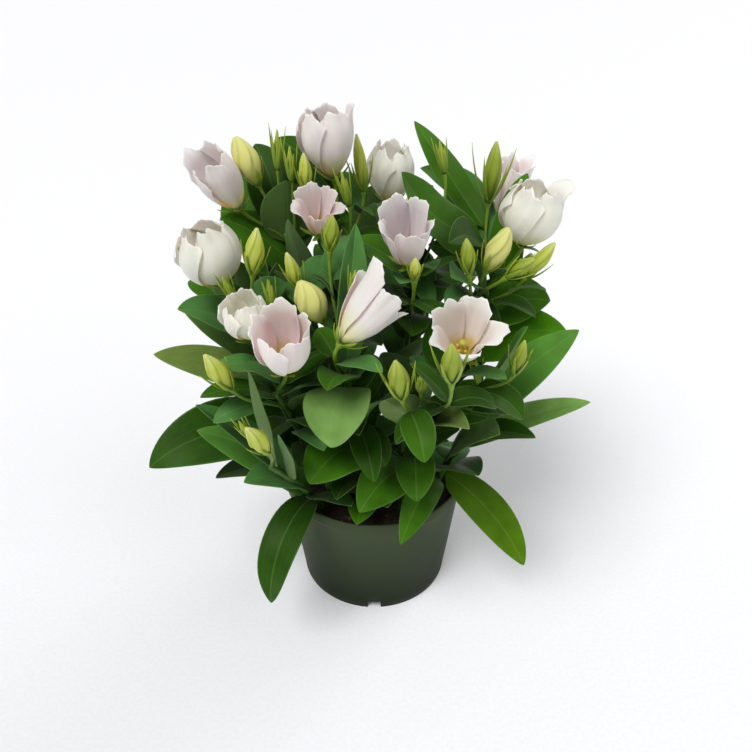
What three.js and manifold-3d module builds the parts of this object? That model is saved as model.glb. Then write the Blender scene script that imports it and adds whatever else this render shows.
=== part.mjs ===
// A potted lisianthus: a plastic pot of peat with twelve leafy stems, blooms and buds, in millimetres.
// The origin is the centre of the pot's foot, Z is up and the plant's front looks along -Y.
import * as THREE from "three";
import { mergeVertices } from "three/addons/utils/BufferGeometryUtils.js";
import Module from "manifold-3d";

const wasm = await Module();
wasm.setup();

// Pot and peat
const POT_HEIGHT = 97;
const RIM_RADIUS = 70;
const FOOT_RADIUS = 58.5;
const WALL = 1.6;
const POT_SIDES = 24;
const NOTCH_COUNT = 3;
const NOTCH_WIDTH = 10;
const NOTCH_HEIGHT = 6.2;
const PEAT_TOP = 84;
const PEAT_SIDES = 15;
const COLLAR = 87; // height at which a stem begins to lean
const STEM_FOOT = 58;
const HOLE_GAP = 0.45;

// Growth
const STEM_FOOT_RADIUS = 2.7;
const STEM_TOP_RADIUS = 1.7;
const BLADE_THICKNESS = 0.8;
const PETAL_THICKNESS = 0.8;
const SEAT_GAP = 0.35;
const MERGE = 0.2; // corners nearer than this to a flat face are dropped where a leaf joins its stem
const LARGE_ROWS = [0.16, 0.42, 0.72, 1]; // after the narrow end that is sunk in the stem
const LEAF_ROWS = [0.28, 0.64, 1];
const PETAL_ROWS = [0.1, 0.2, 0.46, 0.76, 1];
const LAP = 1.5; // how far a petal stands out over its neighbour, and in under the other
const LEAF_SAMPLE = 2.7; // half the spacing of a blade's sample points
const RIGHT_ANGLE = 90;

// Each stem: foot x, y; fork x, y, z; share of the lean that the middle takes; pairs of leaves;
// bearing of the first pair.
const STEMS = {
  left_back: [-24, 20, -60, 16, 282, 0.3, 3, 100],
  left: [-44, -2, -80, -28, 238, 0.55, 3, 150],
  left_front: [-32, -26, -60, -78, 214, 0.35, 3, 200],
  low_left: [-40, -34, -62, -104, 178, 0.5, 1, 215],
  centre_back: [-6, 16, -24, 12, 268, 0.3, 3, 60],
  centre_front: [-4, -38, -16, -88, 232, 0.35, 3, 250],
  centre: [18, 2, 26, -4, 256, 0.3, 3, 20],
  right: [38, 12, 74, -2, 252, 0.35, 3, 340],
  low_right: [45, -18, 72, -54, 190, 0.5, 1, 320],
  right_front: [20, -34, 44, -94, 220, 0.3, 3, 300],
  back_left: [-18, 42, -48, 82, 238, 0.4, 4, 130],
  back_right: [22, 40, 48, 84, 236, 0.4, 4, 45],
};

// Each bloom: stem, share of the stem where its stalk leaves it, base x, y, z, tilt and bearing of its axis,
// length, angle of its wall from the axis at the base, middle and rim, half width of a petal in degrees,
// angle of the first petal from the side that the bloom leans to, then flare and length of the five petals.
const BLOOMS = {
  top: ["centre_back", 0.97, -26, 20, 318, 8, -158, 42, 48, 19, -56, 47, 68,
    [-4, 14, 2, 0, 0], [1.02, 1.08, 1, 1, 1]],
  left_back: ["left_back", 0.96, -87, 8, 302, 30, -140, 40, 40, 14, -34, 47, 50,
    [6, 0, 0, 8, 0], [0.96, 0.92, 1.06, 1.1, 0.9]],
  left: ["left", 0.97, -94, -26, 265, 22, -140, 42, 60, 22, -62, 47, 45,
    [0, 8, 10, 6, 4], [0.98, 0.94, 1.04, 1.02, 1.02]],
  back: ["centre", 0.98, 11, 50, 292, 4, -64, 39, 50, 18, -58, 47, -26,
    [2, 0, 0, 6, 4], [0.94, 1, 1.04, 1.04, 1]],
  middle: ["centre_back", 0.9, -35, -15, 293, 28, -82, 28, 36, 18, 20, 46, -8,
    [0, 10, 0, 4, 8], [0.85, 1.05, 1, 1.05, 1.08]],
  centre: ["centre", 0.94, 20, -50, 287, 26, -97, 38, 44, 14, -4, 46, 7,
    [2, 10, 2, 0, 10], [0.94, 0.94, 1, 1.08, 1.02]],
  right_back: ["right", 0.97, 92, 54, 276, 12, -50, 44, 34, 8, -6, 46, -60,
    [2, 0, 2, 4, 2], [0.95, 1, 1.04, 1, 0.96]],
  right: ["right", 0.9, 94, -15, 286, 14, -70, 40, 56, 22, -52, 47, -20,
    [0, 14, 2, 0, 4], [0.94, 1.12, 1.04, 1.02, 1]],
  left_low: ["left_front", 0.9, -71, -75, 251, 14, -127, 28, 54, 22, -50, 47, 37,
    [0, 4, 2, 0, 4], [1, 0.92, 1, 1, 0.95]],
  front_left: ["left_front", 0.98, -49, -100, 244, 20, -86, 36, 58, 16, -12, 47, 32,
    [0, 2, 4, 4, 0], [0.98, 1, 1.1, 1.06, 0.98]],
  front: ["centre_front", 0.96, -17, -105, 264, 46, 26, 37, 44, 18, 10, 46, 180,
    [-8, 2, 8, 10, 4], [1.22, 1, 0.95, 0.95, 1]],
  front_right: ["right_front", 0.97, 50, -95, 249, 30, -100, 33, 42, 20, 12, 45, 10,
    [14, 10, 0, 2, 12], [0.95, 1.12, 1.1, 1.06, 1.02]],
  rear_left: ["back_left", 0.97, -66, 100, 258, 38, 118, 37, 50, 24, 8, 47, 0,
    [12, 6, 0, 2, 10], [0.95, 1.05, 1, 1, 1]],
  rear_right: ["back_right", 0.97, 70, 100, 254, 36, 56, 39, 52, 24, 10, 47, 20,
    [10, 8, 0, 2, 8], [0.95, 1, 1.06, 1, 1]],
  rear: ["back_left", 0.88, -8, 106, 244, 42, 88, 34, 50, 20, -46, 47, 10,
    [4, 8, 0, 4, 2], [0.95, 1, 1.05, 1, 1]],
};

// The blooms that stand open enough to show what they hold.
const OPEN_BLOOMS = ["centre", "front_left", "front_right"];

// Each bud: stem, share of the stem, base x, y, z, tip x, y, z, width, twist, length of its sepals.
const BUDS = {
  left_tip: ["left_back", 0.98, -75, 15, 316, -86, 12, 345, 18, 70, 15],
  middle_tip: ["centre_back", 0.98, -42, 2, 314, -43, 2, 338, 9, 60, 16],
  middle_back: ["centre_back", 0.95, -7, 26, 308, -11, 26, 344, 9, 60, 22],
  middle_front: ["centre_front", 0.98, -25, -55, 298, -23, -56, 318, 10, 60, 12],
  left_mid: ["left", 0.98, -70, -58, 284, -65, -60, 312, 12, 80, 18],
  left_inner: ["left", 0.9, -44, -54, 273, -50, -56, 296, 9, 60, 16],
  swollen: ["centre_front", 0.9, -30, -73, 262, -41, -77, 287, 19, 90, 13],
  left_outer: ["left_front", 0.8, -81, -100, 232, -91, -108, 258, 12.5, 80, 18],
  low_left: ["low_left", 0.98, -59, -124, 205, -67, -135, 229, 11.5, 70, 14],
  right_inner: ["right", 0.86, 56, -54, 283, 53, -55, 304, 9.5, 60, 13],
  right_pale: ["right", 0.94, 68, -46, 282, 77, -52, 309, 15, 90, 16],
  right_mid: ["right", 0.9, 79, -55, 281, 92, -60, 294, 10, 60, 14],
  right_outer: ["right", 0.84, 96, -32, 271, 110, -32, 293, 10, 60, 15],
  right_tip: ["right", 1.0, 75, 14, 304, 77, 14, 342, 12, 50, 34],
  centre_front: ["centre", 0.8, 23, -74, 288, 23, -77, 301, 7, 60, 9],
  front_low: ["right_front", 0.8, 39, -141, 262, 37, -147, 286, 11, 70, 22],
  front_side: ["right_front", 0.98, 80, -96, 240, 83, -99, 262, 8, 60, 16],
  front_mid: ["right_front", 0.86, 15, -130, 245, 11, -135, 270, 12, 70, 22],
  rear_a: ["back_left", 0.98, -94, 70, 252, -104, 78, 276, 13, 80, 17],
  rear_b: ["back_left", 0.8, -38, 114, 238, -40, 122, 262, 12, 70, 16],
  rear_c: ["back_right", 0.98, 28, 108, 252, 28, 115, 277, 14, 80, 18],
  rear_d: ["back_right", 0.76, 84, 108, 212, 91, 118, 232, 12, 70, 16],
  rear_e: ["right", 0.8, 104, 24, 242, 111, 30, 262, 12, 70, 15],
  rear_f: ["left", 0.8, -116, 12, 252, -127, 14, 272, 12, 70, 16],
};

// Each small green bud, one body with its stem: stem, share of the stem, base x, y, z, tip x, y, z.
const GREEN_BUDS = [
  ["left_back", 0.9, -62, 20, 324, -61, 22, 348],
  ["left_back", 0.85, -52, 8, 320, -52, 6, 341],
  ["centre_back", 0.86, -16, 2, 306, -20, 0, 327],
  ["centre_front", 0.86, -12, -74, 276, -10, -72, 292],
  ["left_front", 0.88, -60, -58, 262, -62, -57, 280],
  ["centre", 0.88, 45, 12, 324, 41, 12, 343],
  ["right_front", 0.9, 26, -112, 238, 26, -116, 252],
  ["left", 0.88, -84, -52, 264, -88, -58, 282],
  ["low_right", 0.98, 66, -66, 214, 62, -70, 232],
  ["low_left", 0.8, -72, -100, 196, -78, -104, 212],
  ["back_left", 0.9, -60, 60, 268, -62, 58, 286],
  ["back_right", 0.9, 58, 58, 266, 60, 56, 284],
  ["centre", 0.84, 36, 66, 268, 38, 72, 288],
];

// Each large leaf: what it grows from, share of the way along that, tip x, y, z, bend in degrees, width,
// roll about its rib in degrees, and rise of its two halves in degrees.
const LARGE_LEAVES = [
  ["left", 0.28, -155, -55, 138, 76, 44, -42, 6],
  ["low_left", 0.18, -71, -102, 57, 118, 27, -4, 10],
  ["low_right", 0.22, 110, -67, 57, 50, 26, 40, 8],
  ["low_right", 0.8, 124, -60, 248, 14, 27, 58, 12],
  ["right_front", 0.3, -9, -100, 138, 70, 32, -28, 10],
  ["low_right", 0.14, 8, -92, 107, 60, 22, -30, 10],
  ["centre_front", 0.92, -25, -118, 203, 118, 38, 8, 5],
  ["low_left", 0.25, -112, -76, 185, 34, 27, -52, 14],
  ["left", 0.55, -143, -40, 220, 30, 25, -42, 14],
  ["left", 0.75, -117, -50, 255, 24, 29, -48, 12],
  ["left", 0.9, -110, -62, 277, 26, 27, -40, 12],
  ["low_left", 0.5, -107, -82, 209, 16, 22, -30, 30],
  ["low_right", 0.5, 149, -34, 178, 26, 19, 30, 20],
  ["low_right", 0.4, 107, -62, 170, 62, 25, 12, 24],
  ["low_right", 0.35, 86, -86, 191, 50, 28, 48, 12],
  ["right_front", 0.65, -5, -112, 237, 6, 27, 42, 30],
  ["right_front", 0.5, 22, -112, 251, -8, 22, 68, 30],
  ["right_front", 0.55, 42, -124, 243, 30, 26, 34, 36],
  ["centre_front", 0.45, -40, -96, 158, 84, 36, -16, 8],
  ["centre_front", 0.03, -12, -72, 101, 64, 20, 0, 12],
  ["centre_front", 0.6, 0, -104, 166, 96, 18, 20, 14],
  ["right", 0.8, 117, -14, 246, 52, 40, 36, 8],
  ["right", 0.65, 123, -36, 232, 36, 36, 58, 8],
  ["low_right", 1.0, 87, -84, 263, -12, 25, 42, 22],
  ["right", 0.95, 54, -62, 288, 30, 26, -30, 10],
  ["centre", 1.0, 46, -50, 286, 40, 22, 10, 12],
  ["low_left", 0.95, -69, -112, 250, -10, 22, -30, 24],
  ["low_left", 0.35, -68, -96, 168, 44, 24, -20, 14],
  ["low_left", 0.7, -53, -118, 212, -8, 18, -60, 24],
  ["left_back", 0.95, -52, -10, 318, 14, 36, 0, 12],
  ["left_back", 0.85, -94, 0, 300, 30, 34, -42, 10],
  ["centre_front", 1.0, -16, -50, 311, 6, 20, 36, 26],
  ["left_back", 0.7, -52, -22, 304, 10, 24, -30, 16],
  ["left", 0.85, -60, -32, 280, 24, 30, 20, 12],
  ["centre_back", 0.75, -48, -20, 250, 40, 26, -20, 12],
  ["centre", 0.7, -1, 14, 279, 16, 30, 0, 10],
  ["left_back", 0.7, -68, 0, 266, 16, 30, 0, 12],
  ["left", 0.7, -83, -18, 275, 20, 28, 0, 12],
  ["centre", 0.5, 38, -20, 223, 30, 30, 0, 12],
  ["centre", 0.4, 7, -30, 217, 40, 28, 0, 12],
  ["left_back", 0.9, -46, 46, 334, 10, 28, 10, 10],
];

// Each bract leaf on a bud's stalk: bud, share of the stalk, tip x, y, z, bend, width, roll, rise.
const BRACT_LEAVES = [
  ["right_tip", 0.66, 28, 60, 346, -6, 19, -30, 22],
  ["right_tip", 0.5, 10, -10, 333, -34, 36, -48, 8],
  ["right_tip", 0.3, 34, -38, 298, 60, 26, -36, 20],
  ["rear_e", 0.8, 102, 25, 320, 126, 22, 20, 10],
  ["left_tip", 0.1, -72, 52, 332, 40, 32, -24, 10],
  ["right_tip", 0.45, 54, 52, 316, 12, 30, -34, 14],
];

const radians = (degrees) => (degrees * Math.PI) / 180;
const add = (a, b, k = 1) => [a[0] + k * b[0], a[1] + k * b[1], a[2] + k * b[2]];
const scaled = (a, k) => [a[0] * k, a[1] * k, a[2] * k];
const dot = (a, b) => a[0] * b[0] + a[1] * b[1] + a[2] * b[2];
const cross = (a, b) => [
  a[1] * b[2] - a[2] * b[1],
  a[2] * b[0] - a[0] * b[2],
  a[0] * b[1] - a[1] * b[0],
];
const length = (a) => Math.sqrt(dot(a, a));
const unit = (a) => scaled(a, 1 / length(a));
const mix = (a, b, t) => add(scaled(a, 1 - t), b, t);

// A seeded draw between 0 and 1.
function randomFrom(seed) {
  let state = seed;
  return () => {
    state = (1664525 * state + 1013904223) % 4294967296;
    return state / 4294967296;
  };
}

// A closed solid of points and triangles, turned outwards if it came inside out.
function solidOf(points, faces) {
  const build = (triangles) =>
    new wasm.Manifold(
      new wasm.Mesh({
        numProp: 3,
        vertProperties: new Float32Array(points.flat()),
        triVerts: new Uint32Array(triangles.flat()),
      }),
    );
  const made = build(faces);
  return made.volume() < 0 ? build(faces.map(([a, b, c]) => [a, c, b])) : made;
}

// Pieces as one solid, with flat corners dropped and any pocket that they shut in filled.
function joined(pieces) {
  const whole = wasm.Manifold.union(pieces).asOriginal().simplify(MERGE);
  return wasm.Manifold.union(whole.decompose().filter((body) => body.volume() > 0));
}

// A named mesh of a solid, with flat faces.
function meshOf(name, body, colour) {
  const data = body.getMesh();
  const positions = new Float32Array(data.numVert * 3);
  for (let i = 0; i < data.numVert; i++)
    for (let k = 0; k < 3; k++)
      positions[3 * i + k] = data.vertProperties[data.numProp * i + k];
  const geometry = new THREE.BufferGeometry();
  geometry.setAttribute("position", new THREE.BufferAttribute(positions, 3));
  geometry.setIndex(new THREE.BufferAttribute(new Uint32Array(data.triVerts), 1));
  const merged = mergeVertices(geometry, 1e-3);
  const mesh = new THREE.Mesh(
    merged,
    new THREE.MeshStandardMaterial({ color: colour, roughness: 0.7, flatShading: true }),
  );
  mesh.name = name;
  return mesh;
}

// Two directions square to a given one.
function across(axis) {
  const reference = Math.abs(axis[2]) < 0.9 ? [0, 0, 1] : [1, 0, 0];
  const first = unit(cross(reference, axis));
  return [first, cross(axis, first)];
}

// A closed tube through rings of given centre, axis and radius. A radius of 0 at an end makes a point.
function tube(rings, sides) {
  const points = [];
  const faces = [];
  let before = null;
  let frame = null;
  rings.forEach(({ centre, axis, radius }, row) => {
    if (frame === null) frame = across(axis)[0];
    frame = unit(add(frame, axis, -dot(frame, axis)));
    const side = cross(axis, frame);
    const ring = [];
    if (radius === 0) ring.push(points.push(centre) - 1);
    else
      for (let k = 0; k < sides; k++) {
        const a = (2 * Math.PI * k) / sides;
        const rim = add(scaled(frame, Math.cos(a) * radius), side, Math.sin(a) * radius);
        ring.push(points.push(add(centre, rim)) - 1);
      }
    if (before === null) {
      if (ring.length > 1)
        for (let k = 1; k < sides - 1; k++) faces.push([ring[0], ring[k + 1], ring[k]]);
    } else
      for (let k = 0; k < sides; k++) {
        const n = (k + 1) % sides;
        if (before.length === 1) faces.push([before[0], ring[k], ring[n]].reverse());
        else if (ring.length === 1) faces.push([before[k], before[n], ring[0]]);
        else faces.push([before[k], before[n], ring[n]], [before[k], ring[n], ring[k]]);
      }
    if (row === rings.length - 1 && ring.length > 1)
      for (let k = 1; k < sides - 1; k++) faces.push([ring[0], ring[k], ring[k + 1]]);
    before = ring;
  });
  return solidOf(points, faces);
}

// A sheet of the given thickness on a grid of points, split into triangles alike on both faces.
function sheet(grid, thickness) {
  const rows = grid.length;
  const columns = grid[0].length;
  const points = [];
  for (const sign of [1, -1])
    for (let i = 0; i < rows; i++)
      for (let j = 0; j < columns; j++) {
        const along = add(grid[Math.min(i + 1, rows - 1)][j], grid[Math.max(i - 1, 0)][j], -1);
        const over = add(grid[i][Math.min(j + 1, columns - 1)], grid[i][Math.max(j - 1, 0)], -1);
        points.push(add(grid[i][j], unit(cross(along, over)), (sign * thickness) / 2));
      }
  const at = (face, i, j) => face * rows * columns + i * columns + j;
  const faces = [];
  const quad = (a, b, c, d) => faces.push([a, b, c], [a, c, d]);
  for (let i = 0; i < rows - 1; i++)
    for (let j = 0; j < columns - 1; j++) {
      quad(at(0, i, j), at(0, i + 1, j), at(0, i + 1, j + 1), at(0, i, j + 1));
      faces.push([at(1, i, j), at(1, i + 1, j + 1), at(1, i + 1, j)]);
      faces.push([at(1, i, j), at(1, i, j + 1), at(1, i + 1, j + 1)]);
    }
  for (let i = 0; i < rows - 1; i++) {
    quad(at(1, i, 0), at(1, i + 1, 0), at(0, i + 1, 0), at(0, i, 0));
    const last = columns - 1;
    quad(at(0, i, last), at(0, i + 1, last), at(1, i + 1, last), at(1, i, last));
  }
  for (let j = 0; j < columns - 1; j++) {
    quad(at(0, 0, j), at(0, 0, j + 1), at(1, 0, j + 1), at(1, 0, j));
    const last = rows - 1;
    quad(at(1, last, j), at(1, last, j + 1), at(0, last, j + 1), at(0, last, j));
  }
  return solidOf(points, faces);
}

// The middle line of a stem, from the peat's surface at 0 to the fork at 1.
function stemPoint(name, t) {
  const [footX, footY, forkX, forkY, forkZ, lean] = STEMS[name];
  const foot = [footX, footY, COLLAR];
  const fork = [forkX, forkY, forkZ];
  const middle = [
    footX + lean * (forkX - footX),
    footY + lean * (forkY - footY),
    COLLAR + 0.55 * (forkZ - COLLAR),
  ];
  return mix(mix(foot, middle, t), mix(middle, fork, t), t);
}

// The middle line of a stalk from a stem to the base of a bud or a bloom whose axis is known.
function stalkPoint(stem, share, base, axis, t) {
  const start = stemPoint(stem, share);
  const end = add(base, axis, -SEAT_GAP);
  const reach = length(add(end, start, -1));
  const out = unit(add(unit(add(end, start, -1)), [0, 0, 1], 0.5));
  const first = add(start, out, 0.35 * reach);
  const second = add(end, axis, -0.35 * reach);
  const a = mix(start, first, t);
  const b = mix(first, second, t);
  const c = mix(second, end, t);
  return mix(mix(a, b, t), mix(b, c, t), t);
}

const bearing = (tilt, azimuth) => [
  Math.sin(radians(tilt)) * Math.cos(radians(azimuth)),
  Math.sin(radians(tilt)) * Math.sin(radians(azimuth)),
  Math.cos(radians(tilt)),
];

function bloomPlan(name) {
  const [stem, share, x, y, z, tilt, azimuth, tall, foot, middle, rim, half, first, flares, lengths] =
    BLOOMS[name];
  return {
    stem, share, base: [x, y, z], axis: bearing(tilt, azimuth), low: bearing(tilt + RIGHT_ANGLE, azimuth),
    tall, foot, middle, rim, half, first, flares, lengths,
    wind: Math.max(0, -0.6 * rim), // degrees that the petals wind round the axis by their rims
  };
}

function budPlan(name) {
  const [stem, share, x, y, z, tipX, tipY, tipZ, width, twist, sepals] = BUDS[name];
  const base = [x, y, z];
  const body = add([tipX, tipY, tipZ], base, -1);
  return { stem, share, base, axis: unit(body), tall: length(body), width, twist, sepals };
}

// A leaf whose rib is an arc in an upright plane. u runs from base 0 to tip 1 and v from edge -1 to edge 1.
function leafPoint(leaf, u, v) {
  const { base, azimuth, rise, reach, width, bend, roll, cup } = leaf;
  const bearingAngle = radians(azimuth);
  const outward = [Math.cos(bearingAngle), Math.sin(bearingAngle), 0];
  const level = [-Math.sin(bearingAngle), Math.cos(bearingAngle), 0];
  const start = radians(rise);
  const turn = radians(bend);
  const slope = start - turn * u;
  const forward = (reach / turn) * (Math.sin(start) - Math.sin(slope));
  const upward = (reach / turn) * (Math.cos(slope) - Math.cos(start));
  const normal = add(scaled(outward, -Math.sin(slope)), [0, 0, 1], Math.cos(slope));
  const r = radians(roll);
  const side = add(scaled(level, Math.cos(r)), normal, Math.sin(r));
  const up = add(scaled(level, -Math.sin(r)), normal, Math.cos(r));
  const swell = Math.pow(u, 0.75) * Math.pow(1 - u, 0.8) * 2.93;
  const half = (width / 2) * (0.2 * Math.pow(1 - u, 4) + swell) + 0.7;
  const c = radians(cup);
  const rib = [
    base[0] + forward * outward[0],
    base[1] + forward * outward[1],
    base[2] + upward,
  ];
  return add(add(rib, side, half * v * Math.cos(c)), up, half * Math.abs(v) * Math.sin(c));
}

// A leaf from a base to a tip, with the arc's own length and first slope worked out from its bend.
function leafTo(base, tip, bend, width, roll, cup) {
  const chord = add(tip, base, -1);
  const turn = bend === 0 ? 1 : bend;
  const halfTurn = radians(turn) / 2;
  return {
    base,
    azimuth: (Math.atan2(chord[1], chord[0]) * 180) / Math.PI,
    rise: (Math.atan2(chord[2], Math.hypot(chord[0], chord[1])) * 180) / Math.PI + turn / 2,
    reach: (length(chord) * halfTurn) / Math.sin(halfTurn),
    width,
    bend: turn,
    roll,
    cup,
    large: true,
  };
}

// What is already placed: sets of points with the radius that each stands for.
const placed = [];

function remember(owner, kind, points) {
  const low = [Infinity, Infinity, Infinity];
  const high = [-Infinity, -Infinity, -Infinity];
  for (const [x, y, z, r] of points)
    [x, y, z].forEach((value, k) => {
      low[k] = Math.min(low[k], value - r);
      high[k] = Math.max(high[k], value + r);
    });
  placed.push({ owner, kind, points, low, high });
}

function touches(points, owner, margin) {
  const low = [Infinity, Infinity, Infinity];
  const high = [-Infinity, -Infinity, -Infinity];
  for (const [x, y, z, r] of points)
    [x, y, z].forEach((value, k) => {
      low[k] = Math.min(low[k], value - r - margin);
      high[k] = Math.max(high[k], value + r + margin);
    });
  for (const thing of placed) {
    if (thing.owner === owner && thing.kind !== "blade") continue;
    const ease = thing.owner === owner ? 3 : 0; // blades of one stem may come nearer
    if ([0, 1, 2].some((k) => thing.low[k] > high[k] || thing.high[k] < low[k])) continue;
    for (const [x, y, z, r] of points)
      for (const [a, b, c, s] of thing.points) {
        const far = r + s + margin - ease;
        if ((x - a) * (x - a) + (y - b) * (y - b) + (z - c) * (z - c) < far * far) return true;
      }
  }
  return false;
}

// Whether a point of a blade is clear of the pot, its peat and the table.
function clearOfPot([x, y, z]) {
  const out = Math.hypot(x, y);
  if (out < 58) return z > PEAT_TOP + 5;
  if (out < RIM_RADIUS + 4) return z > POT_HEIGHT + 3;
  return z > 5;
}

// Whether a point lies within the crown that the leaves set by rule may fill.
function withinCrown([x, y, z]) {
  return clearOfPot([x, y, z]) && Math.hypot(x, y) < 80 + Math.max(0, z - 115) * 0.75;
}

function leafSamples(leaf) {
  const points = [];
  for (let i = 1; i <= 10; i++)
    for (let j = -2; j <= 2; j++) points.push([...leafPoint(leaf, i / 10, j / 2), LEAF_SAMPLE]);
  return points;
}

// The first of a leaf's nearby postures that is clear, or null.
function settle(leaf, owner, turns, lifts, sizes, margin, inside) {
  for (const size of sizes)
    for (const lift of lifts)
      for (const turn of turns) {
        const tried = {
          ...leaf,
          azimuth: leaf.azimuth + turn,
          rise: leaf.rise + lift,
          reach: leaf.reach * size,
          width: leaf.width * (0.4 + 0.6 * size),
        };
        const points = leafSamples(tried);
        if (points.every(inside) && !touches(points, owner, margin)) return tried;
      }
  return null;
}

// Radius and height of a bloom's wall at share u, for a petal whose rim flares more or less.
function wallAt(bloom, u, flare) {
  const steps = 20;
  let radius = 1.5;
  let height = 0;
  for (let i = 0; i < steps; i++) {
    const s = ((i + 0.5) / steps) * u;
    const slope =
      bloom.foot * (1 - s) * (1 - 2 * s) +
      bloom.middle * 4 * s * (1 - s) +
      (bloom.rim + flare) * s * (2 * s - 1);
    const step = (bloom.tall * 1.12 * u) / steps;
    radius += step * Math.sin(radians(slope));
    height += step * Math.cos(radians(slope));
  }
  return [radius, height];
}

// A point of petal k: u from base 0 to rim 1, v from one edge -1, under its neighbour, to the other,
// over the next. The petals wind round the axis as they rise.
function petalPoint(bloom, k, u, v) {
  const [first, second] = [bloom.low, cross(bloom.axis, bloom.low)];
  const reach = u * (1 + (bloom.lengths[k] - 1) * u) * (1 - 0.09 * v * v * u);
  const [radius, height] = wallAt(bloom, reach, bloom.flares[k]);
  const free = Math.min(1, Math.max(0, (u - 0.2) / 0.26));
  const half = 36 + (bloom.half - 36) * free;
  const angle = radians(bloom.first + 72 * k + half * v + bloom.wind * u * u);
  const lap = LAP * v * Math.min(1, Math.max(0, (u - 0.1) / 0.1) * 0.7 + 0.3 * free);
  const ruffle = 1.1 * u * u * Math.sin(radians(200 * v + 70 * k + 40));
  const out = radius + lap + ruffle;
  const rim = add(scaled(first, Math.cos(angle) * out), second, Math.sin(angle) * out);
  return add(add(bloom.base, bloom.axis, height), rim);
}

function bloomSamples(bloom) {
  const points = [];
  for (const u of [0.15, 0.4, 0.65, 0.9, 1.0])
    for (let i = 0; i < 14; i++) {
      const a = (2 * Math.PI * i) / 14;
      const [radius, height] = wallAt(bloom, u, 6);
      const [first, second] = [bloom.low, cross(bloom.axis, bloom.low)];
      const rim = add(scaled(first, Math.cos(a) * radius), second, Math.sin(a) * radius);
      points.push([...add(add(bloom.base, bloom.axis, height), rim), 3.6]);
    }
  return points;
}

function budSamples(bud) {
  const points = [];
  for (let i = 0; i <= 6; i++) {
    const u = i / 6;
    const r = (bud.width / 2) * Math.sin(Math.PI * (0.15 + 0.75 * u)) + 2.2;
    points.push([...add(bud.base, bud.axis, bud.tall * u), r]);
  }
  return points;
}

// A bloom: five petals that grow from one ring and lap over each other, as one closed surface.
function bloomSolid(bloom) {
  const points = [];
  const faces = [];
  const quad = (a, b, c, d) => faces.push([a, b, c], [a, c, d]);
  const [first, second] = [bloom.low, cross(bloom.axis, bloom.low)];
  const around = (degrees, radius, height) => {
    const a = radians(degrees);
    const rim = add(scaled(first, Math.cos(a) * radius), second, Math.sin(a) * radius);
    return points.push(add(add(bloom.base, bloom.axis, height), rim)) - 1;
  };
  const [ringRadius, ringHeight] = wallAt(bloom, PETAL_ROWS[0], 0);
  const half = PETAL_THICKNESS / 2;
  const under = [0, 1, 2, 3, 4].map((k) => around(bloom.first + 72 * k, 1.5, 0));
  const outer = [];
  const inner = [];
  for (let i = 0; i < 10; i++) {
    outer.push(around(bloom.first + 36 * (i - 1), ringRadius + half, ringHeight));
    inner.push(around(bloom.first + 36 * (i - 1), ringRadius - half, ringHeight));
  }
  const floor = points.push(add(bloom.base, bloom.axis, ringHeight - 0.4)) - 1;
  for (let i = 0; i < 10; i++) faces.push([floor, inner[i], inner[(i + 1) % 10]]);
  for (let k = 1; k < 4; k++) faces.push([under[0], under[k + 1], under[k]]);
  for (let k = 0; k < 5; k++) {
    const low = [0, 1, 2].map((j) => outer[(2 * k + j) % 10]);
    faces.push([under[k], low[1], low[0]], [under[k], low[2], low[1]]);
    faces.push([under[k], under[(k + 1) % 5], low[2]]);
    const grid = PETAL_ROWS.map((u) => [-1, 0, 1].map((v) => petalPoint(bloom, k, u, v)));
    const last = grid.length - 1;
    const outside = [low];
    const inside = [[0, 1, 2].map((j) => inner[(2 * k + j) % 10])];
    for (let i = 1; i <= last; i++) {
      const pair = [0, 1, 2].map((j) => {
        const up = add(grid[Math.min(i + 1, last)][j], grid[i - 1][j], -1);
        const over = add(grid[i][Math.min(j + 1, 2)], grid[i][Math.max(j - 1, 0)], -1);
        const normal = unit(cross(over, up));
        return [1, -1].map((sign) => points.push(add(grid[i][j], normal, sign * half)) - 1);
      });
      outside.push(pair.map(([a]) => a));
      inside.push(pair.map(([, b]) => b));
    }
    for (let i = 0; i < last; i++) {
      for (const j of [0, 1]) {
        quad(outside[i][j], outside[i][j + 1], outside[i + 1][j + 1], outside[i + 1][j]);
        const [a, b] = [inside[i][j], inside[i][j + 1]];
        const [c, d] = [inside[i + 1][j + 1], inside[i + 1][j]];
        faces.push([a, d, c], [a, c, b]);
      }
      quad(outside[i][2], inside[i][2], inside[i + 1][2], outside[i + 1][2]);
      quad(outside[i][0], outside[i + 1][0], inside[i + 1][0], inside[i][0]);
    }
    for (const j of [0, 1])
      quad(outside[last][j], outside[last][j + 1], inside[last][j + 1], inside[last][j]);
  }
  return solidOf(points, faces);
}

// A closed bud: a spindle whose five folds wind round it.
function budSolid(bud) {
  const points = [];
  const faces = [];
  const sides = 5;
  const profile = [[0, 1.1], [0.24, 0.66], [0.52, 1], [0.84, 0.6]];
  const [first, second] = across(bud.axis);
  profile.forEach(([u, share], row) => {
    const radius = row === 0 ? share : (share * bud.width) / 2;
    for (let k = 0; k < sides; k++) {
      const a = radians((360 * k) / sides + bud.twist * u);
      const rim = add(scaled(first, Math.cos(a) * radius), second, Math.sin(a) * radius);
      points.push(add(add(bud.base, bud.axis, bud.tall * u), rim));
    }
  });
  const tip = points.push(add(bud.base, bud.axis, bud.tall)) - 1;
  for (let row = 0; row < profile.length - 1; row++)
    for (let k = 0; k < sides; k++) {
      const n = (k + 1) % sides;
      const [a, b, c, d] = [row * sides + k, row * sides + n, (row + 1) * sides + n, (row + 1) * sides + k];
      faces.push([a, b, c], [a, c, d]);
    }
  const top = (profile.length - 1) * sides;
  for (let k = 0; k < sides; k++) faces.push([top + k, top + ((k + 1) % sides), tip]);
  for (let k = 1; k < sides - 1; k++) faces.push([0, k + 1, k]);
  return solidOf(points, faces);
}

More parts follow.
